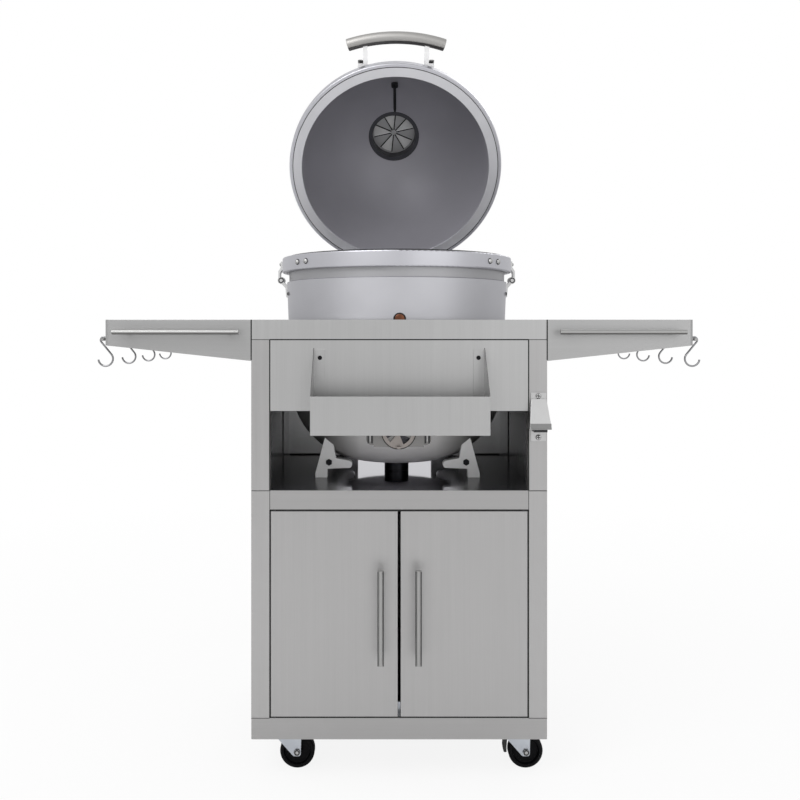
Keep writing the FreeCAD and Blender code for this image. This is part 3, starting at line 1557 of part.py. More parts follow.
def hinge():
    """Two ears on the bowl's back carry the pin; the lid's arm turns on it between them."""
    pin_half = "hinge_arm_width / 2 + slip + hinge_ear + 3"
    pin = rod("hinge_pin", "hinge_pin_diameter / 2", f"2 * ({pin_half})", f"-({pin_half})", "hinge_y", "hinge_level", along="X")
    ears = []
    for side in (-1, 1):
        low = "hinge_arm_width / 2 + slip"
        x_low, x_high = (low, f"{low} + hinge_ear") if side > 0 else (f"-({low}) - hinge_ear", f"-({low})")
        tag = "right" if side > 0 else "left"
        ears.append(
            slab(f"ear_{tag}", x_low, x_high, "grill_y + neck_outer - 20", "hinge_y", "hinge_level - hinge_barrel / 2",
                 "hinge_level + hinge_barrel / 2")
        )
        ears.append(rod(f"ear_end_{tag}", "hinge_barrel / 2", "hinge_ear", x_low, "hinge_y", "hinge_level", along="X"))
    bridge = slab(
        "hinge_bridge", "-hinge_arm_width / 2 - hinge_ear - slip", "hinge_arm_width / 2 + hinge_ear + slip",
        "grill_y + neck_outer - 20", "hinge_y", "hinge_level - 34", "hinge_level - hinge_barrel / 2 - 1",
    )
    risers = [
        slab(f"riser_{'right' if side > 0 else 'left'}",
             "hinge_arm_width / 2 + slip" if side > 0 else "-hinge_arm_width / 2 - slip - hinge_ear",
             "hinge_arm_width / 2 + slip + hinge_ear" if side > 0 else "-hinge_arm_width / 2 - slip",
             "grill_y + neck_outer - 20", "hinge_y", "hinge_level - 34", "hinge_level")
        for side in (-1, 1)
    ]
    blank = fuse("hinge_base_blank", ears + [bridge] + risers)
    hoop = move(ring("hinge_hoop_seat", "1", "band_outer", "rim_level - rim_height", "rim_height + 5"), y="grill_y")
    for name, tool in (("hinge_base_a", bowl_envelope()), ("hinge_base_b", hoop), ("hinge_base_c", pin)):
        blank = cut(name, blank, tool)
    node("hinge_base", group("hinge_base_group", [blank, pin]))

    barrel = rod("arm_barrel", "hinge_barrel / 2", "hinge_arm_width", "-hinge_arm_width / 2", "hinge_back", "-hinge_drop", along="X")
    leaf = slab(
        "arm_leaf", "-hinge_arm_width / 2", "hinge_arm_width / 2", "rim_outer - 12", "hinge_back + hinge_barrel / 2",
        "-hinge_drop", "lid_band_height + 28",
    )
    seat_hoop = ring("arm_hoop_seat", "1", "band_outer", "-1", "lid_band_height + 40")
    lower_room = ring("arm_lower_room", "1", "band_outer + 1", "-40", "39")
    arm = fuse("arm_blank", [barrel, leaf])
    room = rod(
        "arm_bore", "hinge_pin_diameter / 2 + pin_play", "hinge_arm_width + 2", "-hinge_arm_width / 2 - 1",
        "hinge_back", "-hinge_drop", along="X",
    )
    for name, tool in (("arm_a", lid_envelope()), ("arm_b", seat_hoop), ("arm_c", lower_room), ("arm_d", room)):
        arm = cut(name, arm, tool)
    lid_node("hinge_arm", arm)


# Fasteners


def screw(name, x, y, z, radius="4", height="3", along="Y"):
    """A low round head that ends on the face it holds."""
    return rod(name, radius, height, x, y, z, along=along)


def fasteners():
    """Tray and opener screws, hoop bolts in pairs, bracket bolts and the bolts through the feet."""
    heads = []
    for side in (-1, 1):
        heads.append(
            screw(f"tray_screw_{side + 1}", f"{side} * (tray_width / 2 - tray_tab / 2 - gauge)", "-gauge - 3", "tray_screw_level")
        )
    for i, z in enumerate(("opener_top - 7", "opener_top - opener_length + 8")):
        heads.append(screw(f"opener_screw_{i}", "opener_x", "-opener_plate - 3", z))
    for angle in (-60, -52, 52, 60, 120, 128, -120, -128):
        bolt = rod(f"hoop_bolt_{angle + 180}", "6", "5", "0", "0", "rim_level - rim_height / 2", along="Y")
        turned = math.radians(angle)
        place = value("band_outer")
        bolt.setExpression("Placement.Base.z", None)
        outward = FreeCAD.Vector(math.sin(turned), -math.cos(turned), 0)
        bolt.Placement = FreeCAD.Placement(
            FreeCAD.Vector(0, value("grill_y"), value("rim_level - rim_height / 2")) + outward * (place - 0.2),
            FreeCAD.Rotation(FreeCAD.Vector(0, 0, 1), outward),
        )
        hoop = ring(f"bolt_seat_{angle + 180}", "1", "band_outer", "rim_level - rim_height", "rim_height")
        heads.append(cut(f"seated_bolt_{angle + 180}", bolt, move(hoop, y="grill_y")))
    for side in (-1, 1):
        for i, y in enumerate(("grill_y - 8", "grill_y + 8")):
            x = "band_outer + 4" if side > 0 else "-band_outer - 8"
            heads.append(rod(f"bracket_bolt_{side + 1}_{i}", "5", "4", x, y, "rim_level - 13", along="X"))
        for row in (-1, 1):
            heads.append(
                rod(f"foot_bolt_{side + 1}_{row + 1}", "foot_bolt / 2", "foot_width + 4", f"{side} * foot_x",
                    f"grill_y + {row} * foot_y - foot_width / 2 - 2", "foot_bolt_level", along="Y")
            )
    node("screws_and_bolts", group("fastener_group", heads))


def build():
    fill_sheet()
    base_pan()
    side_panels("lower_side_panels", "base_top", "bay_floor_level - gauge")
    side_panels("upper_side_panels", "bay_floor_level", "deck_bottom")
    back_panel()
    bay_floor()
    bay_liners()
    apron()
    top_deck()
    shelves()
    towel_bars()
    hook_rails()
    hooks()
    condiment_tray()
    bottle_opener()
    doors()
    door_handles()
    door_pins()
    door_catch()
    caster_mounts()
    casters()
    bowl()
    bowl_band()
    rim_gasket()
    side_brackets()
    feet()
    drain_tube()
    draft_housing()
    draft_damper()
    grates()
    lid_shell()
    lid_band()
    lid_handle()
    handle_brackets()
    thermometer()
    vent_base()
    vent_damper()
    hinge()
    fasteners()
    doc.recompute()


def check():
    """Stop if any object failed, or any sub-part is empty or not a valid solid."""
    failed = [thing.Name for thing in doc.Objects if "Invalid" in thing.State or "Error" in thing.State]
    empty = [
        thing.Label for thing in NODES
        if thing.Shape.isNull() or not thing.Shape.isValid() or not thing.Shape.Solids
    ]
    if failed or empty:
        raise RuntimeError(f"failed features: {failed}; nodes with no valid solid: {empty}")


def write():
    os.makedirs("parts", exist_ok=True)
    for thing in NODES:
        thing.Shape.exportStep(f"parts/{thing.Label}.step")
        box = thing.Shape.BoundBox
        print(
            f"{thing.Label}: {len(thing.Shape.Solids)} solids, "
            f"{box.XLength:.1f} x {box.YLength:.1f} x {box.ZLength:.1f}"
        )


build()
check()
write()
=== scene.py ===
"""Looks of a kamado grill that stands in a stainless steel cart on casters.

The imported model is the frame. Each class below is one sub-assembly: it takes over the sheet metal, castings
and hardware of the frame's nodes, softens their folds and edges, adds the details that are too fine for the
frame, and gives every piece its finish.
"""

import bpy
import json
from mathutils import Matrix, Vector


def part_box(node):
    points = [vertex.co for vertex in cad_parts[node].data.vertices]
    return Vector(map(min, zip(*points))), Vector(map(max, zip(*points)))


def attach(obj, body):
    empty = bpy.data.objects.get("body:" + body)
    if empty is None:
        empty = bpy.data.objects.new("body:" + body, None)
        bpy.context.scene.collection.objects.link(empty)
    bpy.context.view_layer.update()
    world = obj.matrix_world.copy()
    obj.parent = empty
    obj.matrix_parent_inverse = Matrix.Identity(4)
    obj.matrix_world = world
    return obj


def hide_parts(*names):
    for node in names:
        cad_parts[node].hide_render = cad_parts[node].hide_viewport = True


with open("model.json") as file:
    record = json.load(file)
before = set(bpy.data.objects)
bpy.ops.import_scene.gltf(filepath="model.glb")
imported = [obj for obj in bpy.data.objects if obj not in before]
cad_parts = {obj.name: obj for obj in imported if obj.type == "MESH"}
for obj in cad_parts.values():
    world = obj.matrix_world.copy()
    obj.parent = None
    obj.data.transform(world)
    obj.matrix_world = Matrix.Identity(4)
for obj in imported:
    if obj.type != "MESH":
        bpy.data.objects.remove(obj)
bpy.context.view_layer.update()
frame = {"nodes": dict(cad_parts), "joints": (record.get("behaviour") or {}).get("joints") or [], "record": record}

import json
import logging
import math
from collections.abc import Callable, Iterable
from dataclasses import dataclass, field
from enum import Enum

import bmesh
import bpy
from mathutils import Matrix, Vector

log = logging.getLogger("kamado")

NODE_BODY = {
    node: body for body, nodes in frame["record"]["behaviour"]["bodies"].items() for node in nodes
}


# Shader building


@dataclass(frozen=True)
class Value:
    """A number that comes out of a node, with the arithmetic that adds Math nodes."""

    graph: "Graph"
    socket: bpy.types.NodeSocket | None

    def _math(self, operation: str, *terms: "Value | float") -> "Value":
        """Adds one Math node.

        Args:
            operation: the node's operation.
            terms: its inputs in order.

        Returns:
            The node's result.
        """
        return self.graph.node("ShaderNodeMath", {"operation": operation}, dict(enumerate(terms)))

    def __add__(self, other: "Value | float") -> "Value":
        """self + other."""
        return self._math("ADD", self, other)

    def __mul__(self, other: "Value | float") -> "Value":
        """self * other."""
        return self._math("MULTIPLY", self, other)

    def size(self) -> "Value":
        """The value without its sign."""
        return self._math("ABSOLUTE", self)

    def ramp(self, low: float, high: float, out_low: float = 0.0, out_high: float = 1.0) -> "Value":
        """Maps the range low..high to out_low..out_high, held at the ends."""
        return self.graph.node(
            "ShaderNodeMapRange", {"clamp": True}, {0: self, 1: low, 2: high, 3: out_low, 4: out_high}
        )


class Graph:
    """The node tree of one material or world, with a method that adds any node."""

    def __init__(self, tree: bpy.types.NodeTree) -> None:
        """Empties the tree."""
        self.tree = tree
        tree.nodes.clear()

    def node(
        self, kind: str, settings: dict | None = None, inputs: dict | None = None, out: int | str = 0,
    ) -> Value:
        """Adds a node.

        Args:
            kind: the node's type.
            settings: its properties, set first.
            inputs: values or links by socket index or name.
            out: which output is returned.

        Returns:
            The chosen output.
        """
        made = self.tree.nodes.new(kind)
        for key, setting in (settings or {}).items():
            setattr(made, key, setting)
        for key, given in (inputs or {}).items():
            if isinstance(given, Value):
                self.tree.links.new(given.socket, made.inputs[key])
            elif isinstance(given, tuple) and len(given) == 3 and made.inputs[key].type == "RGBA":
                made.inputs[key].default_value = (*given, 1.0)
            else:
                made.inputs[key].default_value = given
        return Value(self, made.outputs[out] if made.outputs else None)

    def place(self) -> Value:
        """Where a point of the surface is, in metres."""
        return self.node("ShaderNodeTexCoord", out="Object")

    def aside(self) -> Value:
        """How far a point of the surface is from the object's middle in X, in metres."""
        return self.node("ShaderNodeSeparateXYZ", {}, {0: self.place()}, out="X").size()

    def stretched(self, scale: tuple[float, float, float]) -> Value:
        """The surface's place, scaled along each axis, so that a noise on it runs long in one direction."""
        return self.node("ShaderNodeMapping", {}, {"Vector": self.place(), "Scale": scale})

    def noise(self, where: Value, scale: float, detail: float = 2.0, rough: float = 0.5) -> Value:
        """A soft noise of 0 to 1 with its middle at 0.5."""
        return self.node(
            "ShaderNodeTexNoise", {}, {"Vector": where, "Scale": scale, "Detail": detail, "Roughness": rough}
        )

    def mix(self, factor: Value | float, first: Value | tuple, second: Value | tuple) -> Value:
        """One colour fading to another."""
        return self.node(
            "ShaderNodeMix", {"data_type": "RGBA", "clamp_factor": True},
            {0: factor, 6: first, 7: second}, out=2,
        )

    def bump(self, height: Value, distance: float) -> Value:
        """A normal that follows a height."""
        return self.node("ShaderNodeBump", {}, {"Height": height, "Distance": distance, "Strength": 1.0})


class Grain(Enum):
    """Which way the brushing on a sheet runs."""

    ALONG_X = (6.0, 700.0, 700.0)
    ALONG_Z = (700.0, 700.0, 6.0)


@dataclass(frozen=True)
class Finish:
    """A finish: its name, colour, how rough and how metallic it is, and how much its surface mirrors."""

    name: str
    colour: tuple[float, float, float]
    roughness: float
    metallic: float = 1.0
    shine: float = 0.5

    def principled(self, graph: Graph, **sockets: object) -> None:
        """Ends a material in one Principled shader.

        Args:
            graph: the material's graph.
            sockets: further values or links, by socket name with underscores for spaces.
        """
        inputs = {
            "Base Color": self.colour, "Roughness": self.roughness, "Metallic": self.metallic,
            "Specular IOR Level": self.shine,
        }
        inputs.update({key.replace("_", " "): given for key, given in sockets.items()})
        shader = graph.node("ShaderNodeBsdfPrincipled", {}, inputs)
        graph.node("ShaderNodeOutputMaterial", {}, {"Surface": shader})

    def tint(self, factor: float) -> tuple[float, float, float]:
        """The colour, lighter or darker."""
        return tuple(min(1.0, channel * factor) for channel in self.colour)

    def dress(self, graph: Graph) -> None:
        """Fills the material: a faint cloudiness on a plain surface."""
        cloud = graph.noise(graph.place(), 30.0, 3.0)
        self.principled(
            graph,
            Base_Color=graph.mix(cloud.ramp(0.3, 0.7), self.tint(0.92), self.tint(1.05)),
            Roughness=cloud.ramp(0.3, 0.7, self.roughness * 0.85, self.roughness * 1.15),
        )

    def material(self) -> bpy.types.Material:
        """The finish as a material, made once."""
        known = bpy.data.materials.get(self.name)
        if known:
            return known
        made = bpy.data.materials.new(self.name)
        made.use_nodes = True
        self.dress(Graph(made.node_tree))
        return made


@dataclass(frozen=True)
class BrushedSheet(Finish):
    """Stainless sheet with fine brush lines and faint clouds."""

    grain: Grain = Grain.ALONG_X
    depth: float = 0.000012

    def dress(self, graph: Graph) -> None:
        """Fills the material."""
        lines = graph.noise(graph.stretched(self.grain.value), 1.0, 3.0, 0.65)
        streaks = graph.noise(graph.stretched(tuple(0.12 * s for s in self.grain.value)), 1.0, 2.0)
        cloud = graph.noise(graph.place(), 3.5, 2.0)
        shade = lines * 0.5 + streaks * 0.3 + cloud * 0.2
        self.principled(
            graph,
            Base_Color=graph.mix(shade.ramp(0.3, 0.7), self.tint(0.95), self.tint(1.04)),
            Roughness=shade.ramp(0.3, 0.7, self.roughness * 0.88, self.roughness * 1.15),
            Normal=graph.bump(lines, self.depth),
        )


@dataclass(frozen=True)
class ShadedMirror(BrushedSheet):
    """Polished sheet with the photograph's shade painted on both sides of a bright middle."""

    bright: float = 0.108
    fade: float = 0.03
    shade: float = 0.06
    dull: float = 0.22

    def dress(self, graph: Graph) -> None:
        """Fills the material."""
        lines = graph.noise(graph.stretched(self.grain.value), 1.0, 3.0, 0.65)
        edge = graph.aside().ramp(self.bright, self.bright + self.fade)
        self.principled(
            graph,
            Base_Color=graph.mix(edge, self.colour, self.tint(self.shade)),
            Metallic=edge.ramp(0.0, 1.0, self.metallic, 0.0),
            Roughness=lines * 0.02 + edge.ramp(0.0, 1.0, self.roughness, self.dull),
            Normal=graph.bump(lines, self.depth),
        )


@dataclass(frozen=True)
class CastSkin(Finish):
    """A cast wall with a fine grain under a satin coat."""

    grain_size: float = 900.0
    depth: float = 0.00004

    def dress(self, graph: Graph) -> None:
        """Fills the material."""
        pores = graph.noise(graph.place(), self.grain_size, 3.0, 0.6)
        cloud = graph.noise(graph.place(), 6.0, 3.0)
        self.principled(
            graph,
            Base_Color=graph.mix(cloud.ramp(0.3, 0.7), self.tint(0.95), self.tint(1.04)),
            Roughness=pores.ramp(0.3, 0.7, self.roughness * 0.88, self.roughness * 1.12),
            Normal=graph.bump(pores, self.depth),
        )


@dataclass(frozen=True)
class ShadedSkin(CastSkin):
    """A cast wall with the photograph's shade painted on both sides of its middle."""

    bright: float = 0.085
    fade: float = 0.085
    shade: float = 0.2

    def dress(self, graph: Graph) -> None:
        """Fills the material."""
        pores = graph.noise(graph.place(), self.grain_size, 3.0, 0.6)
        edge = graph.aside().ramp(self.bright, self.bright + self.fade)
        self.principled(
            graph,
            Base_Color=graph.mix(edge, self.colour, self.tint(self.shade)),
            Roughness=pores.ramp(0.3, 0.7, self.roughness * 0.88, self.roughness * 1.12),
            Normal=graph.bump(pores, self.depth),
        )


FACE = BrushedSheet("brushed_face_steel", (0.53, 0.53, 0.53), 0.36, grain=Grain.ALONG_Z, depth=0.000006)
PAN = BrushedSheet("brushed_pan_steel", (0.45, 0.445, 0.445), 0.38, grain=Grain.ALONG_X, depth=0.000006)
SIDE = BrushedSheet("brushed_side_steel", (0.495, 0.49, 0.49), 0.36, grain=Grain.ALONG_Z, depth=0.000006)
SHELF = BrushedSheet("brushed_shelf_steel", (0.47, 0.47, 0.47), 0.38, grain=Grain.ALONG_X, depth=0.000006)
DOOR = BrushedSheet("brushed_door_steel", (0.485, 0.48, 0.48), 0.38, grain=Grain.ALONG_Z, depth=0.000004)
LINER = BrushedSheet(
    "polished_liner_steel", (0.48, 0.48, 0.485), 0.24, 0.8, grain=Grain.ALONG_Z, depth=0.000003,
)
MIRROR = ShadedMirror("mirror_floor_steel", (0.62, 0.615, 0.67), 0.05, shine=0.15, depth=0.000001)
PLATE = BrushedSheet("opener_plate", (0.60, 0.60, 0.60), 0.34, grain=Grain.ALONG_Z, depth=0.000004)
BAR = BrushedSheet("satin_bar_steel", (0.41, 0.41, 0.405), 0.36, grain=Grain.ALONG_X)
GRIP = BrushedSheet("satin_grip", (0.46, 0.452, 0.44), 0.5, grain=Grain.ALONG_X)
# Painted shade: the dark finish on the downward faces of the towel bars and the lid handle.
UNDERSIDE_SHADE = BrushedSheet("bar_underside_shade", (0.09, 0.087, 0.085), 0.4, grain=Grain.ALONG_X)
POST = CastSkin("post_steel", (0.95, 0.95, 0.95), 0.5, 0.0)
CAST = CastSkin("silver_casting", (0.57, 0.57, 0.60), 0.46)
# Painted shade: the bowl's casting, darker in the recessed neck under the hoop.
NECK_SHADE = CastSkin("neck_casting_shade", (0.44, 0.44, 0.455), 0.46)
# Painted light and shade: the bowl's underside lighter than its casting in the middle, and darker to both sides.
BELLY_LIT_AND_SHADED = ShadedSkin("belly_lit_and_shaded_casting", (0.86, 0.85, 0.84), 0.6, 0.25)
INSIDE = CastSkin("dark_inside", (0.38, 0.375, 0.41), 0.5, 0.4)
HOOP = CastSkin("hoop_silver", (0.60, 0.60, 0.64), 0.38)
RIM = CastSkin("rim_face", (0.76, 0.76, 0.79), 0.5, depth=0.00008)
HOUSING = CastSkin("housing_casting", (0.30, 0.295, 0.29), 0.5)
# Painted shade: the mid-grey of the opener hood's turned-under edge.
HOOD_EDGE_SHADE = Finish("opener_hood_edge_shade", (0.30, 0.30, 0.30), 0.4)
BRACKET = CastSkin("bracket_casting", (0.68, 0.68, 0.68), 0.42)
FOOT = CastSkin("foot_casting", (0.85, 0.85, 0.85), 0.5, 0.5)
BLACK = CastSkin("black_enamel", (0.02, 0.02, 0.022), 0.35)
VENT = CastSkin("vent_casting", (0.5, 0.5, 0.5), 0.42)
# Painted shade: the near-black of the top vent's collar and bore below its disc.
COLLAR_SHADE = CastSkin("vent_collar", (0.055, 0.055, 0.065), 0.5, 0.3)
DISC = CastSkin("vent_disc", (0.50, 0.50, 0.51), 0.5, 0.5)
LEAF = CastSkin("vent_leaf", (0.88, 0.88, 0.88), 0.6, 0.0)
WHEEL = CastSkin("vent_wheel", (0.40, 0.365, 0.345), 0.5)
SHADE = Finish("shadow_gap", (0.012, 0.012, 0.012), 0.8, 0.0)
# Painted shade: a grey line in narrow gaps between sheets and along the tray's gusset edges.
SEAM_SHADE = Finish("grey_seam_shade", (0.10, 0.10, 0.10), 0.7, 0.0)
GASKET = Finish("black_felt", (0.02, 0.02, 0.02), 0.95, 0.0)
ROD = Finish("polished_rod", (0.55, 0.55, 0.55), 0.22)
WIRE = Finish("polished_wire", (0.34, 0.34, 0.35), 0.16)
ZINC = Finish("zinc_plate", (0.58, 0.61, 0.66), 0.3)
DARK = Finish("dark_steel", (0.06, 0.06, 0.062), 0.35)
TYRE = Finish("black_tyre", (0.003, 0.003, 0.004), 0.5, 0.0, 0.12)
PEDAL = Finish("black_pedal", (0.02, 0.02, 0.02), 0.4, 0.0)
BOLT = Finish("bright_bolt", (0.52, 0.52, 0.52), 0.16)
DIAL = Finish("dial_steel", (0.6, 0.6, 0.6), 0.25)
PRINT = Finish("dial_print", (0.8, 0.8, 0.78), 0.5, 0.0)
INK = Finish("dial_ink", (0.02, 0.02, 0.02), 0.5, 0.0)
COPPER = Finish("copper_boss", (0.17, 0.07, 0.04), 0.25)


# Mesh building


class Blank:
    """A mesh in the making, in metres and in the frame's own place."""

    def __init__(self, start: bpy.types.Mesh | None = None) -> None:
        """Starts empty, or from another mesh."""
        self.bm = bmesh.new()
        if start is not None:
            self.bm.from_mesh(start)

    @classmethod
    def of_node(cls, node: str) -> "Blank":
        """A merged copy of a frame node, its flat faces in one piece each."""
        blank = cls(frame["nodes"][node].data)
        bmesh.ops.remove_doubles(blank.bm, verts=blank.bm.verts, dist=2e-6)
        bmesh.ops.dissolve_limit(
            blank.bm, angle_limit=math.radians(0.4), verts=blank.bm.verts, edges=blank.bm.edges
        )
        return blank

    @classmethod
    def lathe(cls, profile: Iterable[tuple[float, float]], steps: int = 48) -> "Blank":
        """A shape turned about Z.

        Args:
            profile: radius and height of each point of its outside, from the bottom of its axis to the top.
            steps: faces round the axis.

        Returns:
            The turned shape.
        """
        blank = cls()
        points = [blank.bm.verts.new((radius, 0.0, height)) for radius, height in profile]
        edges = [blank.bm.edges.new(pair) for pair in zip(points, points[1:])]
        bmesh.ops.spin(
            blank.bm, geom=points + edges, axis=(0, 0, 1), cent=(0, 0, 0), angle=2 * math.pi, steps=steps,
            use_merge=True,
        )
        return blank.tidy()

    @classmethod
    def ring(cls, inner: float, outer: float, low: float, high: float, steps: int) -> "Blank":
        """A flat ring about Z, by its two radii and its two heights."""
        return cls.lathe([(inner, low), (outer, low), (outer, high), (inner, high), (inner, low)], steps)

    @classmethod
    def block(cls, low: tuple[float, float, float], high: tuple[float, float, float]) -> "Blank":
        """A block between two corners."""
        blank = cls()
        centre = (Vector(low) + Vector(high)) / 2
        size = Vector(high) - Vector(low)
        place = Matrix.Translation(centre) @ Matrix.Diagonal((*size, 1.0))
        bmesh.ops.create_cube(blank.bm, size=1.0, matrix=place)
        return blank

    @classmethod
    def rod(cls, radius: float, length: float, sides: int = 24) -> "Blank":
        """A round or many-sided bar that stands on the origin along Z."""
        blank = cls()
        bmesh.ops.create_cone(
            blank.bm, cap_ends=True, segments=sides, radius1=radius, radius2=radius, depth=length,
            matrix=Matrix.Translation((0, 0, length / 2)),
        )
        return blank

    def tidy(self) -> "Blank":
        """Merges doubles and points the faces outwards."""
        bmesh.ops.remove_doubles(self.bm, verts=self.bm.verts, dist=1e-6)
        bmesh.ops.recalc_face_normals(self.bm, faces=self.bm.faces)
        return self

    def put(self, matrix: Matrix) -> "Blank":
        """Moves and turns the whole mesh."""
        bmesh.ops.transform(self.bm, matrix=matrix, verts=self.bm.verts)
        return self

    def add(self, other: "Blank") -> "Blank":
        """Takes another mesh in, which is used up."""
        mesh = bpy.data.meshes.new("part")
        other.bm.to_mesh(mesh)
        other.bm.free()
        self.bm.from_mesh(mesh)
        bpy.data.meshes.remove(mesh)
        return self

    def cut(self, tool: "Blank") -> "Blank":
        """Takes the space of another mesh out, which is used up."""
        things = []
        for name, blank in (("base", self), ("tool", tool)):
            mesh = bpy.data.meshes.new(name)
            blank.bm.to_mesh(mesh)
            blank.bm.free()
            things.append(bpy.data.objects.new(name, mesh))
            bpy.context.scene.collection.objects.link(things[-1])
        modifier = things[0].modifiers.new("cut", "BOOLEAN")
        modifier.object = things[1]
        modifier.operation = "DIFFERENCE"
        modifier.solver = "EXACT"
        graph = bpy.context.evaluated_depsgraph_get()
        result = bpy.data.meshes.new_from_object(things[0].evaluated_get(graph))
        self.bm = bmesh.new()
        self.bm.from_mesh(result)
        bpy.data.meshes.remove(result)
        for thing in things:
            mesh = thing.data
            bpy.data.objects.remove(thing)
            bpy.data.meshes.remove(mesh)
        return self

    def bevel(self, width: float, sharper_than: float = 35.0, segments: int = 2) -> "Blank":
        """Rounds the edges whose faces meet at more than an angle, in degrees."""
        limit = math.radians(sharper_than)
        sharp = [e for e in self.bm.edges if e.is_manifold and e.calc_face_angle(0.0) > limit]
        bmesh.ops.bevel(
            self.bm, geom=sharp, offset=width, offset_type="OFFSET", affect="EDGES", segments=segments,
            profile=0.5, material=-1, clamp_overlap=True,
        )
        return self

    def piece(
        self, name: str, finishes: "Finish | list[Finish]", body: str, slot: str, smooth: float = 32.0,
        pick: Callable[[Vector, Vector], int] | None = None,
    ) -> bpy.types.Object:
        """Turns the mesh into a finished piece that rides on a body.

        Args:
            name: the piece's name.
            finishes: its finish, or several.
            body: the body that it moves with.
            slot: the record's material slot; not used.
            smooth: edges sharper than this many degrees stay sharp in the shading.
            pick: chooses the finish of a face by its middle and its normal.

        Returns:
            The new object.
        """
        mesh = bpy.data.meshes.new(name)
        self.bm.to_mesh(mesh)
        self.bm.free()
        mesh.materials.clear()
        for finish in finishes if isinstance(finishes, list) else [finishes]:
            mesh.materials.append(finish.material())
        for polygon in mesh.polygons:
            polygon.use_smooth = True
            polygon.material_index = pick(polygon.center, polygon.normal) if pick else 0
        mesh.set_sharp_from_angle(angle=math.radians(smooth))
        made = bpy.data.objects.new(name, mesh)
        bpy.context.scene.collection.objects.link(made)
        shading = made.modifiers.new("even_shading", "WEIGHTED_NORMAL")
        shading.mode = "FACE_AREA"
        shading.keep_sharp = True
        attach(made, body)
        log.info("%s: %d faces on %s", name, len(mesh.polygons), body)
        return made


def slot_of(node: str) -> str:
    """The record's material slot of a frame node."""
    return next(part["material_slot"] for part in frame["record"]["subparts"] if part["node"] == node)


def soften(
    node: str, finish: Finish | list[Finish], width: float, sharper_than: float = 35.0, segments: int = 2,
    pick: Callable[[Vector, Vector], int] | None = None,
) -> bpy.types.Object:
    """Stands a copy with rounded edges in for a frame node.

    Args:
        node: the frame's node.
        finish: the copy's finish, or several.
        width: how far the rounding reaches from each edge.
        sharper_than: only edges sharper than this are rounded.
        segments: how many faces the rounding has.
        pick: chooses the finish of a face by its middle and its normal.

    Returns:
        The copy.
    """
    made = Blank.of_node(node).bevel(width, sharper_than, segments).piece(
        node + "_softened", finish, NODE_BODY[node], slot_of(node), pick=pick
    )
    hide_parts(node)
    return made


def dress(node: str, finish: Finish) -> None:
    """Gives a frame node that keeps its shape its finish."""
    mesh = frame["nodes"][node].data
    mesh.materials.clear()
    mesh.materials.append(finish.material())


# Sub-assemblies


def joint(name: str) -> dict:
    """A joint of the frame."""
    return next(each for each in frame["joints"] if each["name"] == name)


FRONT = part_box("apron")[0][1]
GRILL_Y = (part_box("bowl_band")[0][1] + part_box("bowl_band")[1][1]) / 2
LID_OPEN_DEGREES = 60.5
PIN_BEHIND_LID = 0.287
PIN_BELOW_RIM = 0.019
LID = (
    Matrix.Translation(joint("lid_hinge")["pos_m"])
    @ Matrix.Rotation(math.radians(-LID_OPEN_DEGREES), 4, "X")
    @ Matrix.Translation((0.0, -PIN_BEHIND_LID, PIN_BELOW_RIM))
)


def arc(
    centre: tuple[float, float], radius: float, start: float, end: float, steps: int,
) -> list[tuple[float, float]]:
    """Points of a circle's arc, both ends included, by angles in degrees."""
    angles = [math.radians(start + (end - start) * i / steps) for i in range(steps + 1)]
    return [(centre[0] + radius * math.cos(a), centre[1] + radius * math.sin(a)) for a in angles]


def dome(foot: tuple[float, float], top: tuple[float, float], steps: int = 28) -> list[tuple[float, float]]:
    """A dome's section from its upright foot to its top."""
    inset, rise = foot[0] - top[0], top[1] - foot[1]
    radius = (inset * inset + rise * rise) / (2 * inset)
    return arc((foot[0] - radius, foot[1]), radius, 0.0, math.degrees(math.asin(rise / radius)), steps)


def facing(place: tuple[float, float, float] | Vector, out: tuple[float, float, float] | Vector) -> Matrix:
    """Where a shape built along Z goes to stand on a point and look along a direction."""
    return Matrix.Translation(place) @ Vector(out).to_track_quat("Z", "Y").to_matrix().to_4x4()


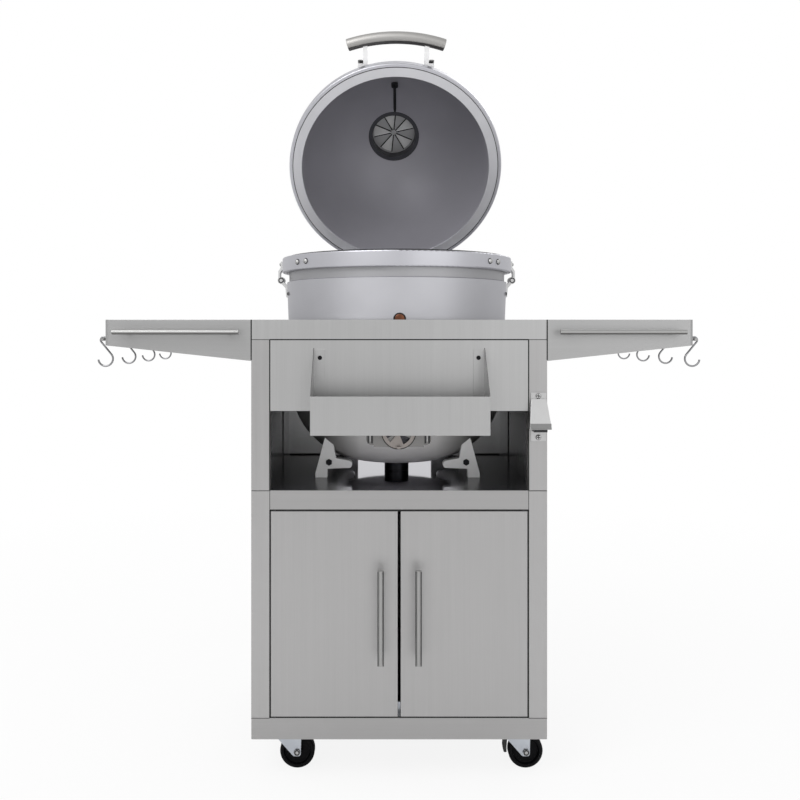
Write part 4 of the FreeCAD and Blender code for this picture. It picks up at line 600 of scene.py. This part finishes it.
@dataclass
class Cart:
    """The cabinet: pans, panels, liners and deck."""

    thin: float = 0.0005
    gap: float = 0.0026
    hanger_x: float = 0.1795
    hanger_ends: tuple[float, float] = (0.806, 0.912)
    gusset_x: float = 0.1775
    gusset_level: float = 0.845
    wing_joint: tuple[float, float] = (0.070, 0.076)
    mouth_ends: tuple[float, float] = (0.7385, 0.7445)
    hood_ends: tuple[float, float] = (0.7447, 0.7565)

    def strip(self, x: float, half: float, low: float, high: float) -> Blank:
        """A thin strip on the cart's front, by its middle in X, its half width and its ends in Z."""
        return Blank.block((x - half, FRONT - 0.0002, low), (x + half, FRONT + 0.0008, high))

    def seams(self) -> None:
        """Painted shade: dark strips in the gaps where sheets meet at the front and in the liner, and grey ones
        across the posts.
        """
        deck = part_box("top_deck")
        level, top = deck[0][2], deck[1][2]
        inner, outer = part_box("apron")[1][0], deck[1][0]
        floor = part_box("upper_side_panels")[0][2]
        skirt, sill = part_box("bay_floor")[0][2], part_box("base_pan")[1][2]
        dark = self.strip(0.0, inner, level - self.gap / 2, level + self.gap / 2)
        dark.add(self.strip(0.0, inner, sill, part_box("door_right")[0][2]))
        dark.add(self.strip(0.0, inner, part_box("door_right")[1][2], skirt + 0.0012))
        grey = Blank()
        middle, half = (inner + outer) / 2, (outer - inner) / 2
        for side in (-1, 1):
            dark.add(self.strip(side * inner, self.gap / 2, floor, level))
            dark.add(self.strip(side * outer, self.gap / 2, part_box("shelf_right")[0][2] + 0.002, top))
            grey.add(self.strip(side * middle, half, level - self.gap / 3, level + self.gap / 3))
            grey.add(self.strip(side * middle, half, floor - 0.0014, floor - 0.0002))
            grey.add(self.strip(side * inner, self.gap * 0.3, skirt, floor))
            grey.add(self.strip(side * middle, half, sill - 0.0014, sill - 0.0002))
            edge = (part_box("door_right")[1][0] + inner) / 2
            dark.add(self.strip(side * (edge + 0.0005), inner - edge + 0.0005, sill, skirt))
            # Painted shadow: a dark line beside each of the tray's hangers, where it meets the apron.
            dark.add(self.strip(side * self.hanger_x, 0.0007, *self.hanger_ends))
        dark.piece("front_joint_shade", SHADE, "cart", "cart_steel", 30.0)
        grey.piece("post_joint_shade", SEAM_SHADE, "cart", "cart_steel", 30.0)
        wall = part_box("bay_liners")[1][0] - 0.0015
        near, far = self.wing_joint
        lining = Blank()
        for side in (-1, 1):
            low, high = sorted((side * wall, side * (wall - 0.0015)))
            lining.add(Blank.block((low, near, floor + 0.001), (high, far, level - 0.001)))
        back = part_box("bay_liners")[1][1] - 0.0015
        foot = (-wall + 0.002, back - 0.0006, floor + 0.0002)
        lining.add(Blank.block(foot, (wall - 0.002, back, floor + 0.0034)))
        lining.piece("liner_joint_shade", SHADE, "cart", "liner_steel", 30.0)

    def gusset(self, middle: Vector, normal: Vector) -> int:
        """1 for the sloping edges of the tray's gussets, which take painted shade, else 0."""
        outside = abs(middle.x) > self.gusset_x and middle.z > self.gusset_level
        return int(outside and normal.y < -0.25 and abs(normal.x) < 0.9)

    def lip(self) -> None:
        """Painted shade: the opener's mouth in the shade under its hood, and the hood's edge in a mid-grey shade.
        """
        low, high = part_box("bottle_opener")
        mouth = Blank.block(
            (low[0] + 0.010, low[1] + 0.002, self.mouth_ends[0]),
            (high[0] - 0.009, FRONT - 0.0016, self.mouth_ends[1]),
        )
        mouth.piece("opener_mouth_shade", DARK, "cart", "plated_zinc", 30.0)
        edge = Blank.block(
            (low[0] + 0.0012, low[1] - 0.0003, self.hood_ends[0]),
            (high[0] - 0.0012, low[1] + 0.001, self.hood_ends[1]),
        )
        edge.piece("opener_edge_shade", HOOD_EDGE_SHADE, "cart", "plated_zinc", 30.0)

    def build(self) -> None:
        """Dresses every sheet of the cabinet."""
        for node in ("apron", "top_deck"):
            soften(node, FACE, self.thin)
        soften("base_pan", PAN, self.thin)
        soften("condiment_tray", [FACE, SEAM_SHADE], self.thin, pick=self.gusset)
        soften("bay_floor", [PAN, MIRROR], self.thin, pick=lambda middle, normal: int(normal.z > 0.9))
        for node in ("lower_side_panels", "upper_side_panels", "back_panel"):
            soften(node, SIDE, self.thin)
        soften("bay_liners", LINER, self.thin)
        soften("bottle_opener", PLATE, self.thin)
        dress("door_catch", ZINC)
        # Painted shade: the door pins take the dark finish, so the door gaps stay dark where the pins sit.
        dress("door_pins", DARK)
        self.seams()
        self.lip()


@dataclass
class Shelves:
    """Side shelves, towel bars, hook rails and hooks."""

    def build(self) -> None:
        """Dresses both shelves and what hangs on them."""
        for node in ("shelf_right", "shelf_left"):
            soften(node, SHELF, 0.0005)
        # Painted shade: the towel bars' downward faces take the dark underside finish.
        soften("towel_bars", [BAR, UNDERSIDE_SHADE], 0.0012, 60.0, pick=lambda middle, normal: int(normal.z < -0.45))
        soften("hook_rails", BAR, 0.0008, 60.0)
        for side in ("right", "left"):
            for i in range(1, 5):
                soften(f"s_hook_{side}_{i}", WIRE, 0.0008, 60.0)


@dataclass
class Doors:
    """The two doors and their bar handles."""

    def build(self) -> None:
        """Dresses both doors."""
        for side in ("right", "left"):
            soften(f"door_{side}", DOOR, 0.0008)
            soften(f"door_handle_{side}", BAR, 0.0012, 60.0)
            # Painted shade: dark strips down both sides of each bar handle.
            low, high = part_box(f"door_handle_{side}")
            edges = Blank()
            for x in (low[0], high[0] - 0.0018):
                foot = (x, low[1] - 0.0002, low[2] + 0.001)
                edges.add(Blank.block(foot, (x + 0.0018, low[1] + 0.0006, high[2] - 0.001)))
            node = f"door_handle_{side}"
            edges.piece(f"handle_edge_shade_{side}", DARK, NODE_BODY[node], slot_of(node), 30.0)


@dataclass
class Casters:
    """Swivel casters, two of them with a brake pedal."""

    places: tuple[str, ...] = ("front_left", "front_right", "rear_left", "rear_right")
    leg: float = 0.0175
    head_radius: float = 0.0078

    def head(self, offset: Vector, normal: Vector) -> int:
        """1 for the axle's head and 2 for its rim, by the offset from the axle's middle."""
        if math.hypot(offset.x, offset.z) > self.head_radius or abs(offset.y) < self.leg + 0.0003:
            return 0
        return 1 if abs(normal.y) > 0.9 else 2

    def build(self) -> None:
        """Dresses the casters."""
        soften("caster_mounts", ZINC, 0.0004)
        for place in self.places:
            axle = Vector(joint("roll_" + place)["pos_m"])
            soften(
                "caster_fork_" + place, [ZINC, BOLT, DARK], 0.0005,
                pick=lambda middle, normal, axle=axle: self.head(middle - axle, normal),
            )
            soften("caster_wheel_" + place, TYRE, 0.0008)
            rings = Blank()
            for side in (-1, 1):
                ring = Blank.ring(0.0034, 0.006, -0.0002, 0.0003, 40)
                rings.add(ring.put(facing(axle + Vector((0, side * (self.leg + 0.004), 0)), (0, side, 0))))
            rings.piece("axle_rings_" + place, DARK, "fork_" + place, "caster_zinc", 40.0)
        for place in ("front", "rear"):
            soften("brake_pedal_" + place, PEDAL, 0.001)


@dataclass
class Hardware:
    """Bolt and screw heads, each shaped by its kind."""

    hoop_bolts: tuple[float, ...] = (-55.5, -48.5, 48.5, 55.5, 120, 128, -120, -128)
    hoop_radius: float = 0.275
    hoop_level: float = 1.1045
    opener_x: float = 0.292
    opener_levels: tuple[float, float] = (0.812, 0.725)
    tray_x: float = 0.1665
    tray_level: float = 0.892
    bracket_x: float = 0.279
    bracket_level: float = 1.109
    foot_x: float = 0.157
    foot_y: float = 0.115
    foot_half: float = 0.013
    foot_level: float = 0.648

    def domed(self, radius: float, height: float) -> Blank:
        """A domed head on a thin flange, standing on the origin."""
        angles = [math.radians(degrees) for degrees in (0, 20, 40, 60, 80)]
        crown = [(radius * 0.86 * math.cos(a), height * (0.3 + 0.7 * math.sin(a))) for a in angles]
        return Blank.lathe([(0.0, 0.0), (radius, 0.0), (radius, height * 0.22), *crown, (0.0, height)], 32)

    def hexagon(self, radius: float, height: float) -> Blank:
        """A six-sided head with eased corners."""
        return Blank.rod(radius, height, 6).bevel(radius * 0.1, 40.0)

    def crossed(self, radius: float, height: float) -> Blank:
        """A pan head with a cross recess."""
        shoulder = height * 0.45
        profile = [
            (0.0, 0.0), (radius, 0.0), (radius, shoulder), (radius * 0.8, height * 0.85),
            (radius * 0.45, height), (0.0, height),
        ]
        head = Blank.lathe(profile, 32)
        arm, half = radius * 0.62, radius * 0.13
        for x, y in ((arm, half), (half, arm)):
            head.cut(Blank.block((-x, -y, shoulder), (x, y, height * 2)))
        return head

    def socket(self, radius: float, height: float) -> Blank:
        """A low round head with a deep six-sided socket."""
        profile = [
            (0.0, 0.0), (radius, 0.0), (radius, height * 0.6), (radius * 0.75, height), (0.0, height),
        ]
        head = Blank.lathe(profile, 32)
        return head.cut(Blank.rod(radius * 0.45, height, 6).put(Matrix.Translation((0, 0, height * 0.35))))

    def build(self) -> None:
        """Stands shaped heads in for the plain ones."""
        hoop = Blank()
        for angle in self.hoop_bolts:
            turned = math.radians(angle)
            out = Vector((math.sin(turned), -math.cos(turned), 0.0))
            place = Vector((0.0, GRILL_Y, self.hoop_level)) + out * (self.hoop_radius - 0.0001)
            hoop.add(self.domed(0.0066, 0.0056).put(facing(place, out)))
        # Painted shade: each head's flange, at its foot against the hoop, takes the dark finish.
        seat = self.hoop_radius + 0.0014
        heads = hoop.piece(
            "hoop_bolts", [BOLT, DARK], "cart", "bolt_steel", 40.0,
            lambda middle, normal: int(math.hypot(middle.x, middle.y - GRILL_Y) < seat),
        )
        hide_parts("screws_and_bolts")
        opener = Blank()
        for level in self.opener_levels:
            place = facing((self.opener_x, FRONT - 0.003, level), (0, -1, 0))
            opener.add(self.crossed(0.0058, 0.004).put(place))
        # Painted shade: the cross recess and the foot of each head take the dark finish.
        opener.piece(
            "opener_screws", [BOLT, DARK], "cart", "bolt_steel", 30.0,
            lambda middle, normal: int(middle.y > FRONT - 0.0052),
        )
        tray = Blank()
        for side in (-1, 1):
            place = facing((side * self.tray_x, FRONT - 0.0015, self.tray_level), (0, -1, 0))
            tray.add(self.socket(0.0045, 0.003).put(place))
        tray.piece("tray_screws", BLACK, "cart", "bolt_steel", 30.0)
        bracket = Blank()
        for side in (-1, 1):
            for y in (GRILL_Y - 0.008, GRILL_Y + 0.008):
                place = facing((side * self.bracket_x, y, self.bracket_level), (side, 0, 0))
                bracket.add(self.domed(0.005, 0.004).put(place))
        bracket.piece("bracket_bolts", BOLT, "cart", "bolt_steel", 40.0)
        feet = Blank()
        for x in (-self.foot_x, self.foot_x):
            for y in (GRILL_Y - self.foot_y, GRILL_Y + self.foot_y):
                for out in (-1, 1):
                    place = facing((x, y + out * self.foot_half, self.foot_level), (0, out, 0))
                    feet.add(self.hexagon(0.0078, 0.0035).put(place))
        feet.piece("foot_bolts", BLACK, "cart", "bolt_steel", 30.0)


@dataclass
class Bowl:
    """The bowl with its hoop, gasket, brackets, feet, drain and lower vent."""

    neck: tuple[float, float] = (1.0645, 1.0885)
    belly_top: float = 0.84
    vent_level: float = 0.731
    vent_radius: float = 0.031
    clip_x: float = 0.0615
    clip_edges: tuple[float, float] = (0.0575, 0.0655)
    clip_ends: tuple[float, float] = (0.710, 0.752)
    edge_ends: tuple[float, float] = (0.706, 0.756)
    boss: tuple[float, float, float] = (0.002, GRILL_Y - 0.2585, 0.9745)

    def zone(self, middle: Vector, normal: Vector) -> int:
        """1 for the bowl's inner wall, 2 for its neck in painted shade, 3 for its underside with painted light and
        shade, else 0.
        """
        out = Vector((middle.x, middle.y - GRILL_Y, 0.0))
        inward = out.length > 0.01 and normal.dot(out.normalized()) < -0.15
        if inward or (normal.z > 0.5 and middle.z < 1.1):
            return 1
        if self.neck[0] < middle.z < self.neck[1]:
            return 2
        return 3 if middle.z < self.belly_top else 0

    def draft(self) -> None:
        """Painted shade round the vent wheel's rim, and the clips at both ends of the vent's face."""
        centre = Vector(joint("lower_damper_turn")["pos_m"])
        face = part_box("draft_damper")[1][1] - 0.003
        rim = Blank.ring(0.0358, 0.0376, 0.0, 0.0003, 72)
        rim.put(facing((centre.x, face, centre.z), (0, -1, 0))).piece(
            "vent_wheel_rim_shade", SHADE, "lower_damper", "vent_cast", 30.0
        )
        face = centre.y
        dark, bright = Blank(), Blank()
        for side in (-1, 1):
            low, high = self.edge_ends
            for offset in self.clip_edges:
                x = side * offset
                dark.add(Blank.block((x - 0.0018, face - 0.0025, low), (x + 0.0018, face + 0.0005, high)))
            x = side * self.clip_x
            low, high = self.clip_ends
            bright.add(Blank.block((x - 0.0016, face - 0.0008, low), (x + 0.0016, face + 0.0005, high)))
        dark.bevel(0.0004).piece("vent_clip_edges", DARK, "cart", "cast_bracket", 30.0)
        bright.bevel(0.0004).piece("vent_clips", BOLT, "cart", "cast_bracket", 30.0)

    def sides(self) -> None:
        """The barrels in the loops of the side brackets, with their dark bolts."""
        reach, half, level = 0.2785, 0.0145, 1.0705
        barrels, bolts = Blank(), Blank()
        for side in (-1, 1):
            barrel = Blank.lathe(
                [(0.0, 0.0), (0.0082, 0.0), (0.0082, 0.028), (0.0074, 2 * half), (0.0, 2 * half)], 32
            )
            barrels.add(barrel.put(facing((side * reach, GRILL_Y + half, level), (0, -1, 0))))
            ring = Blank.ring(0.0040, 0.0066, 0.0, 0.0008, 32)
            bolts.add(ring.put(facing((side * reach, GRILL_Y - half, level), (0, -1, 0))))
            angle = side * math.radians(76)
            out = Vector((math.sin(angle), -math.cos(angle), 0.0))
            for radius, height in ((0.2642, 1.036), (0.2662, 1.108)):
                head = Blank.lathe([(0.0, 0.0), (0.0046, 0.0), (0.0040, 0.0022), (0.0, 0.0034)], 24)
                bolts.add(head.put(facing(Vector((0, GRILL_Y, height)) + out * radius, out)))
        barrels.piece("bracket_barrels", BRACKET, "cart", "cast_bracket", 30.0)
        bolts.piece("bracket_rings", DARK, "cart", "bolt_steel", 30.0)

    def build(self) -> None:
        """Dresses the bowl."""
        profile = [
            (0.020, 0.640), *arc((0.070, 0.825), 0.185, -90, 0, 24), (0.264, 1.064), (0.2585, 1.066),
            (0.259, 1.087), (0.265, 1.087), (0.266, 1.088), (0.266, 1.121), (0.265, 1.122), (0.243, 1.122),
            (0.242, 1.121), (0.242, 0.865), *arc((0.070, 0.825), 0.163, 0, -90, 20), (0.020, 0.662),
            (0.020, 0.640),
        ]
        shell = Blank.lathe(profile, 144)
        shell.cut(Blank.rod(self.vent_radius, 0.3, 48).put(facing((0.0, 0.0, self.vent_level), (0, -1, 0))))
        for i in range(4):
            lug = Blank.block((0.228, -0.008, 1.0657), (0.2425, 0.008, 1.0757)).bevel(0.001, 40.0)
            shell.add(lug.put(Matrix.Rotation(math.radians(45 + 90 * i), 4, "Z")))
        made = shell.put(Matrix.Translation((0.0, GRILL_Y, 0.0))).piece(
            "bowl_casting", [CAST, INSIDE, NECK_SHADE, BELLY_LIT_AND_SHADED], "cart", "cast_body", 28.0, self.zone
        )
        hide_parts("bowl")
        soften("bowl_band", HOOP, 0.001, 50.0)
        soften("rim_gasket", GASKET, 0.0008)
        soften("side_brackets", BRACKET, 0.0006)
        soften("grill_feet", FOOT, 0.0018, 30.0, 3)
        soften("drain_tube", BLACK, 0.001)
        soften("draft_housing", HOUSING, 0.0025, segments=3)
        soften("draft_damper", WHEEL, 0.0006)
        self.draft()
        self.sides()
        soften("cooking_grid", ROD, 0.0002, 80.0)
        soften("charcoal_grate", ROD, 0.0002, 80.0)
        soften("hinge_base", BRACKET, 0.001)
        place = facing(self.boss, (0, -1, 0))
        collar = Blank.lathe(
            [(0.0, -0.002), (0.0138, -0.002), (0.0138, 0.002), (0.0128, 0.003), (0.0, 0.003)], 40
        )
        collar.put(place).piece("boss_collar", SHADE, "cart", "bolt_steel", 40.0)
        boss = Blank.lathe([(0.0, 0.0), (0.0112, 0.0), (0.0112, 0.0045), (0.0098, 0.0068), (0.0, 0.0095)], 40)
        boss.put(place).piece("front_boss", COPPER, "cart", "bolt_steel", 40.0)


@dataclass
class Lid:
    """The lid with its hoop, handle, thermometer and top vent."""

    centre: Vector = field(default_factory=lambda: LID @ Vector((0, 0, 0.09)))
    axis: Vector = field(default_factory=lambda: LID.to_3x3() @ Vector((0, 0, 1)))
    vent_turn: float = 23.0
    vent_slots: int = 10
    sweep: float = 260.0
    bolt_drop: float = -0.009
    bolt_x: float = 0.0885
    bolt_ends: tuple[float, float] = (-0.2755, -0.2664)
    bolt_level: float = 0.047
    plate_level: float = 0.037
    disc_radius: float = 0.0605
    collar_radius: float = 0.0725
    disc_level: float = 0.3225

    def inside(self, middle: Vector, normal: Vector) -> int:
        """1 for the lid's inner wall, 2 for the rim's face, else 0."""
        if normal.dot(self.axis) < -0.9 and (middle - self.centre).dot(self.axis) < -0.08:
            return 2
        return int(normal.dot(self.centre - middle) > 0.02)

    def bolted(self, place: Vector, drop: float = 0.0) -> bool:
        """Whether a point of the lid's own frame is on a bolt head of the handle's feet."""
        low, high = self.bolt_ends
        beside = abs(abs(place.x) - self.bolt_x) < 0.0085 and low < place.y < high
        return beside and abs(place.z - self.bolt_level - drop) < 0.009

    def posted(self, middle: Vector, normal: Vector) -> int:
        """1 for the bolt heads on the handle's feet, by a middle in the lid's own frame and the normal."""
        plate = abs(middle.z - self.plate_level) < 0.001 and abs(normal.dot(self.axis)) > 0.9
        return int(self.bolted(middle, self.bolt_drop) and not plate)

    def vented(self, middle: Vector, normal: Vector) -> int:
        """1 for the collar and bore below the vent's disc, in painted shade, 2 for its underside, by the lid's own
        frame.
        """
        radius = math.hypot(middle.x, middle.y)
        if radius < self.disc_radius and normal.z < -0.9 and middle.z > 0.31:
            return 2
        return int(radius < self.collar_radius and middle.z < self.disc_level)

    def vent(self) -> None:
        """The top vent, turned on the lid's axis, with painted shade lines along the edges of its slots."""
        flat = LID.inverted()
        turn = LID @ Matrix.Rotation(math.radians(self.vent_turn), 4, "Z") @ flat
        still = flat.to_3x3()
        base = Blank.of_node("vent_base").bevel(0.0006, 35.0).put(turn).piece(
            "vent_base_turned", [VENT, COLLAR_SHADE, DISC], "lid", slot_of("vent_base"),
            pick=lambda middle, normal: self.vented(flat @ middle, still @ normal),
        )
        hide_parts("vent_base")
        cap = Blank.of_node("vent_damper").bevel(0.0006, 35.0).put(turn).piece(
            "vent_damper_turned", [VENT, LEAF], NODE_BODY["vent_damper"], slot_of("vent_damper"),
            pick=lambda middle, normal: int((still @ normal).z < -0.9),
        )
        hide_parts("vent_damper")
        lines = Blank()
        for i in range(self.vent_slots):
            line = Blank.block((0.0075, -0.0015, 0.3215), (0.0575, 0.0015, 0.3229))
            angle = math.radians(360 / self.vent_slots * i + self.vent_turn)
            lines.add(line.put(LID @ Matrix.Rotation(angle, 4, "Z")))
        lines.piece("vent_slot_edge_shade", SHADE, "lid", "vent_cast", 30.0)

    def stand(self) -> Matrix:
        """The thermometer's own place: Z out of the dome, Y up it."""
        turn = joint("pointer_turn")
        out = -Vector(turn["axis"])
        up = out.cross(Vector((1, 0, 0)))
        return Matrix.Translation(turn["pos_m"]) @ Matrix((Vector((1, 0, 0)), up, out)).transposed().to_4x4()

    def dial(self) -> None:
        """A printed face with ticks and plain numbers, behind a bezel."""
        stand = self.stand()
        face = Blank.lathe([(0.0023, 0.0), (0.0332, 0.0), (0.0332, 0.0003), (0.0023, 0.0003)], 64)
        face.put(stand @ Matrix.Translation((0, 0, 0.013)))
        face.piece("dial_face", PRINT, "lid", "gauge_steel", 30.0)
        ink = Blank()
        level, reach, ticks = 0.0132, 0.0315, 24
        for i in range(ticks + 1):
            angle = math.radians(self.sweep / 2 - self.sweep * i / ticks)
            long, wide = (0.0055, 0.0009) if i % 4 == 0 else (0.003, 0.0005)
            tick = Blank.block((-wide / 2, reach - long, 0.0), (wide / 2, reach, 0.0002))
            ink.add(tick.put(stand @ Matrix.Translation((0, 0, level)) @ Matrix.Rotation(angle, 4, "Z")))
        numbers, ring = ("100", "200", "300", "400", "500", "600", "700"), 0.0205
        for i, number in enumerate(numbers):
            angle = math.radians(self.sweep / 2 - self.sweep * i / (len(numbers) - 1))
            place = Vector((-math.sin(angle) * ring, math.cos(angle) * ring, level))
            ink.add(self.number(number, 0.0062).put(stand @ Matrix.Translation(place)))
        ink.piece("dial_ink", INK, "lid", "gauge_steel", 30.0)

    def number(self, text: str, size: float) -> Blank:
        """Plain raised digits, centred on the origin."""
        curve = bpy.data.curves.new("digits", "FONT")
        curve.body = text
        curve.size = size
        curve.extrude = 0.0001
        curve.align_x = "CENTER"
        curve.align_y = "CENTER"
        curve.resolution_u = 3
        holder = bpy.data.objects.new("digits", curve)
        bpy.context.scene.collection.objects.link(holder)
        graph = bpy.context.evaluated_depsgraph_get()
        mesh = bpy.data.meshes.new_from_object(holder.evaluated_get(graph))
        bpy.data.objects.remove(holder)
        return Blank(mesh)

    def build(self) -> None:
        """Dresses the lid."""
        outside = dome((0.264, 0.040), (0.092, 0.300))
        inner = dome((0.242, 0.040), (0.072, 0.283))
        profile = [
            (0.243, 0.0), (0.265, 0.0), (0.266, 0.001), (0.266, 0.030), (0.264, 0.030), *outside,
            (0.072, 0.300), *reversed(inner), (0.242, 0.001), (0.243, 0.0),
        ]
        shell = Blank.lathe(profile, 144)
        through = LID.inverted() @ self.stand() @ Matrix.Translation((0, 0, -0.06))
        bore = Blank.rod(0.005, 0.12, 24).put(through)
        made = shell.cut(bore).put(LID).piece(
            "lid_casting", [CAST, INSIDE, RIM], "lid", "cast_body", 28.0, self.inside
        )
        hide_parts("lid_shell")
        soften("lid_band", HOOP, 0.001, 50.0)
        # Painted shade: a dark ring in the groove between the lid's hoop and its rim face.
        line = Blank.ring(0.2652, 0.2668, -0.0004, 0.0008, 144)
        line.put(LID).piece("lid_rim_groove_shade", SHADE, "lid", "hoop_metal", 30.0)
        # Painted shade: the handle's downward faces take the dark underside finish.
        soften(
            "lid_handle", [GRIP, UNDERSIDE_SHADE], 0.0015, 50.0, pick=lambda middle, normal: int(normal.z < -0.7)
        )
        flat = LID.inverted()
        brackets = Blank.of_node("handle_brackets")
        for vert in brackets.bm.verts:
            if self.bolted(flat @ vert.co):
                vert.co += self.axis * self.bolt_drop
        made = brackets.bevel(0.0006).piece(
            "handle_brackets_softened", [POST, DARK], "lid", slot_of("handle_brackets"),
            pick=lambda middle, normal: self.posted(flat @ middle, normal),
        )
        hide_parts("handle_brackets")
        back = self.stand().inverted()
        soften(
            "thermometer", [DIAL, DARK], 0.0005, pick=lambda middle, normal: int((back @ middle).z < -0.004)
        )
        soften("thermometer_pointer", BLACK, 0.0001)
        self.vent()
        soften("hinge_arm", BRACKET, 0.0015)
        self.dial()


# Studio


@dataclass
class Studio:
    """A white floor and surroundings, soft lamps and the camera in front."""

    focal_px: float = 940.0
    frame_px: float = 800.0
    optical_x_px: float = 379.2
    optical_y_px: float = 332.0
    eye: tuple[float, float, float] = (-0.042, FRONT - 1.975, 0.946)

    def camera(self) -> None:
        """Stands the camera level in front, with the shift that frames the object."""
        lens = bpy.data.cameras.new("front_camera")
        lens.sensor_width = 36.0
        lens.lens = 36.0 * self.focal_px / self.frame_px
        lens.shift_x = (self.frame_px / 2 - self.optical_x_px) / self.frame_px
        lens.shift_y = -(self.frame_px / 2 - self.optical_y_px) / self.frame_px
        holder = bpy.data.objects.new("front_camera", lens)
        holder.location = self.eye
        holder.rotation_euler = (math.radians(90), 0, 0)
        bpy.context.scene.collection.objects.link(holder)
        bpy.context.scene.camera = holder

    def world(self) -> None:
        """White to the camera, and a dimmer white room for everything else."""
        made = bpy.data.worlds.new("studio_world")
        made.use_nodes = True
        bpy.context.scene.world = made
        graph = Graph(made.node_tree)
        rays = graph.node("ShaderNodeLightPath", out="Is Camera Ray")
        soft = graph.node("ShaderNodeBackground", {}, {"Color": (1.0, 1.0, 1.0), "Strength": 0.72})
        seen = graph.node("ShaderNodeBackground", {}, {"Color": (1.0, 1.0, 1.0), "Strength": 1.0})
        both = graph.node("ShaderNodeMixShader", {}, {0: rays, 1: soft, 2: seen})
        graph.node("ShaderNodeOutputWorld", {}, {"Surface": both})

    def floor(self) -> None:
        """A wide white floor that keeps the object's shadow and fades to white far out."""
        bm = bmesh.new()
        bmesh.ops.create_grid(bm, x_segments=1, y_segments=1, size=14.0)
        mesh = bpy.data.meshes.new("studio_floor")
        bm.to_mesh(mesh)
        bm.free()
        floor = bpy.data.objects.new("studio_floor", mesh)
        bpy.context.scene.collection.objects.link(floor)
        material = bpy.data.materials.new("studio_floor")
        material.use_nodes = True
        graph = Graph(material.node_tree)
        distance = graph.node(
            "ShaderNodeVectorMath", {"operation": "LENGTH"}, {0: graph.place()}, out="Value"
        )
        far = distance.ramp(0.8, 3.0)
        rays = graph.node("ShaderNodeLightPath", out="Is Camera Ray")
        matt = graph.node("ShaderNodeBsdfDiffuse", {}, {"Color": (0.86, 0.86, 0.86)})
        glow = graph.node("ShaderNodeEmission", {}, {"Color": (1.0, 1.0, 1.0), "Strength": 1.0})
        mask = rays * (far * 0.12 + 0.88)
        both = graph.node("ShaderNodeMixShader", {}, {0: mask, 1: matt, 2: glow})
        graph.node("ShaderNodeOutputMaterial", {}, {"Surface": both})
        mesh.materials.append(material)

    def lamp(self, name: str, place: Vector, aim: Vector, size: tuple[float, float], watts: float) -> None:
        """A soft rectangular lamp.

        Args:
            name: its name.
            place: where it stands.
            aim: what it points at.
            size: its width and height.
            watts: its power.
        """
        light = bpy.data.lights.new(name, "AREA")
        light.shape = "RECTANGLE"
        light.size, light.size_y = size
        light.energy = watts
        holder = bpy.data.objects.new(name, light)
        holder.location = place
        holder.rotation_euler = (aim - place).to_track_quat("-Z", "Y").to_euler()
        bpy.context.scene.collection.objects.link(holder)

    def build(self) -> None:
        """Sets up camera, world, floor and lamps."""
        self.camera()
        self.world()
        self.floor()
        middle = Vector((0, 0, 0.9))
        self.lamp("key_above", Vector((-1.6, -2.4, 3.2)), middle, (2.2, 2.2), 55.0)
        self.lamp("fill_right", Vector((2.0, -3.0, 1.9)), middle, (3.0, 3.0), 13.0)
        self.lamp("rim_behind", Vector((0.6, 2.8, 2.8)), middle, (2.4, 1.6), 25.0)
        scene = bpy.context.scene
        scene.view_settings.view_transform = "Standard"


def main() -> None:
    """Builds every sub-assembly in order, then the studio."""
    logging.basicConfig(level=logging.INFO, format="%(name)s %(message)s")
    for part in (Cart(), Shelves(), Doors(), Casters(), Bowl(), Lid(), Hardware(), Studio()):
        part.build()
        log.info("%s done", type(part).__name__)


if __name__ == "__main__":
    main()
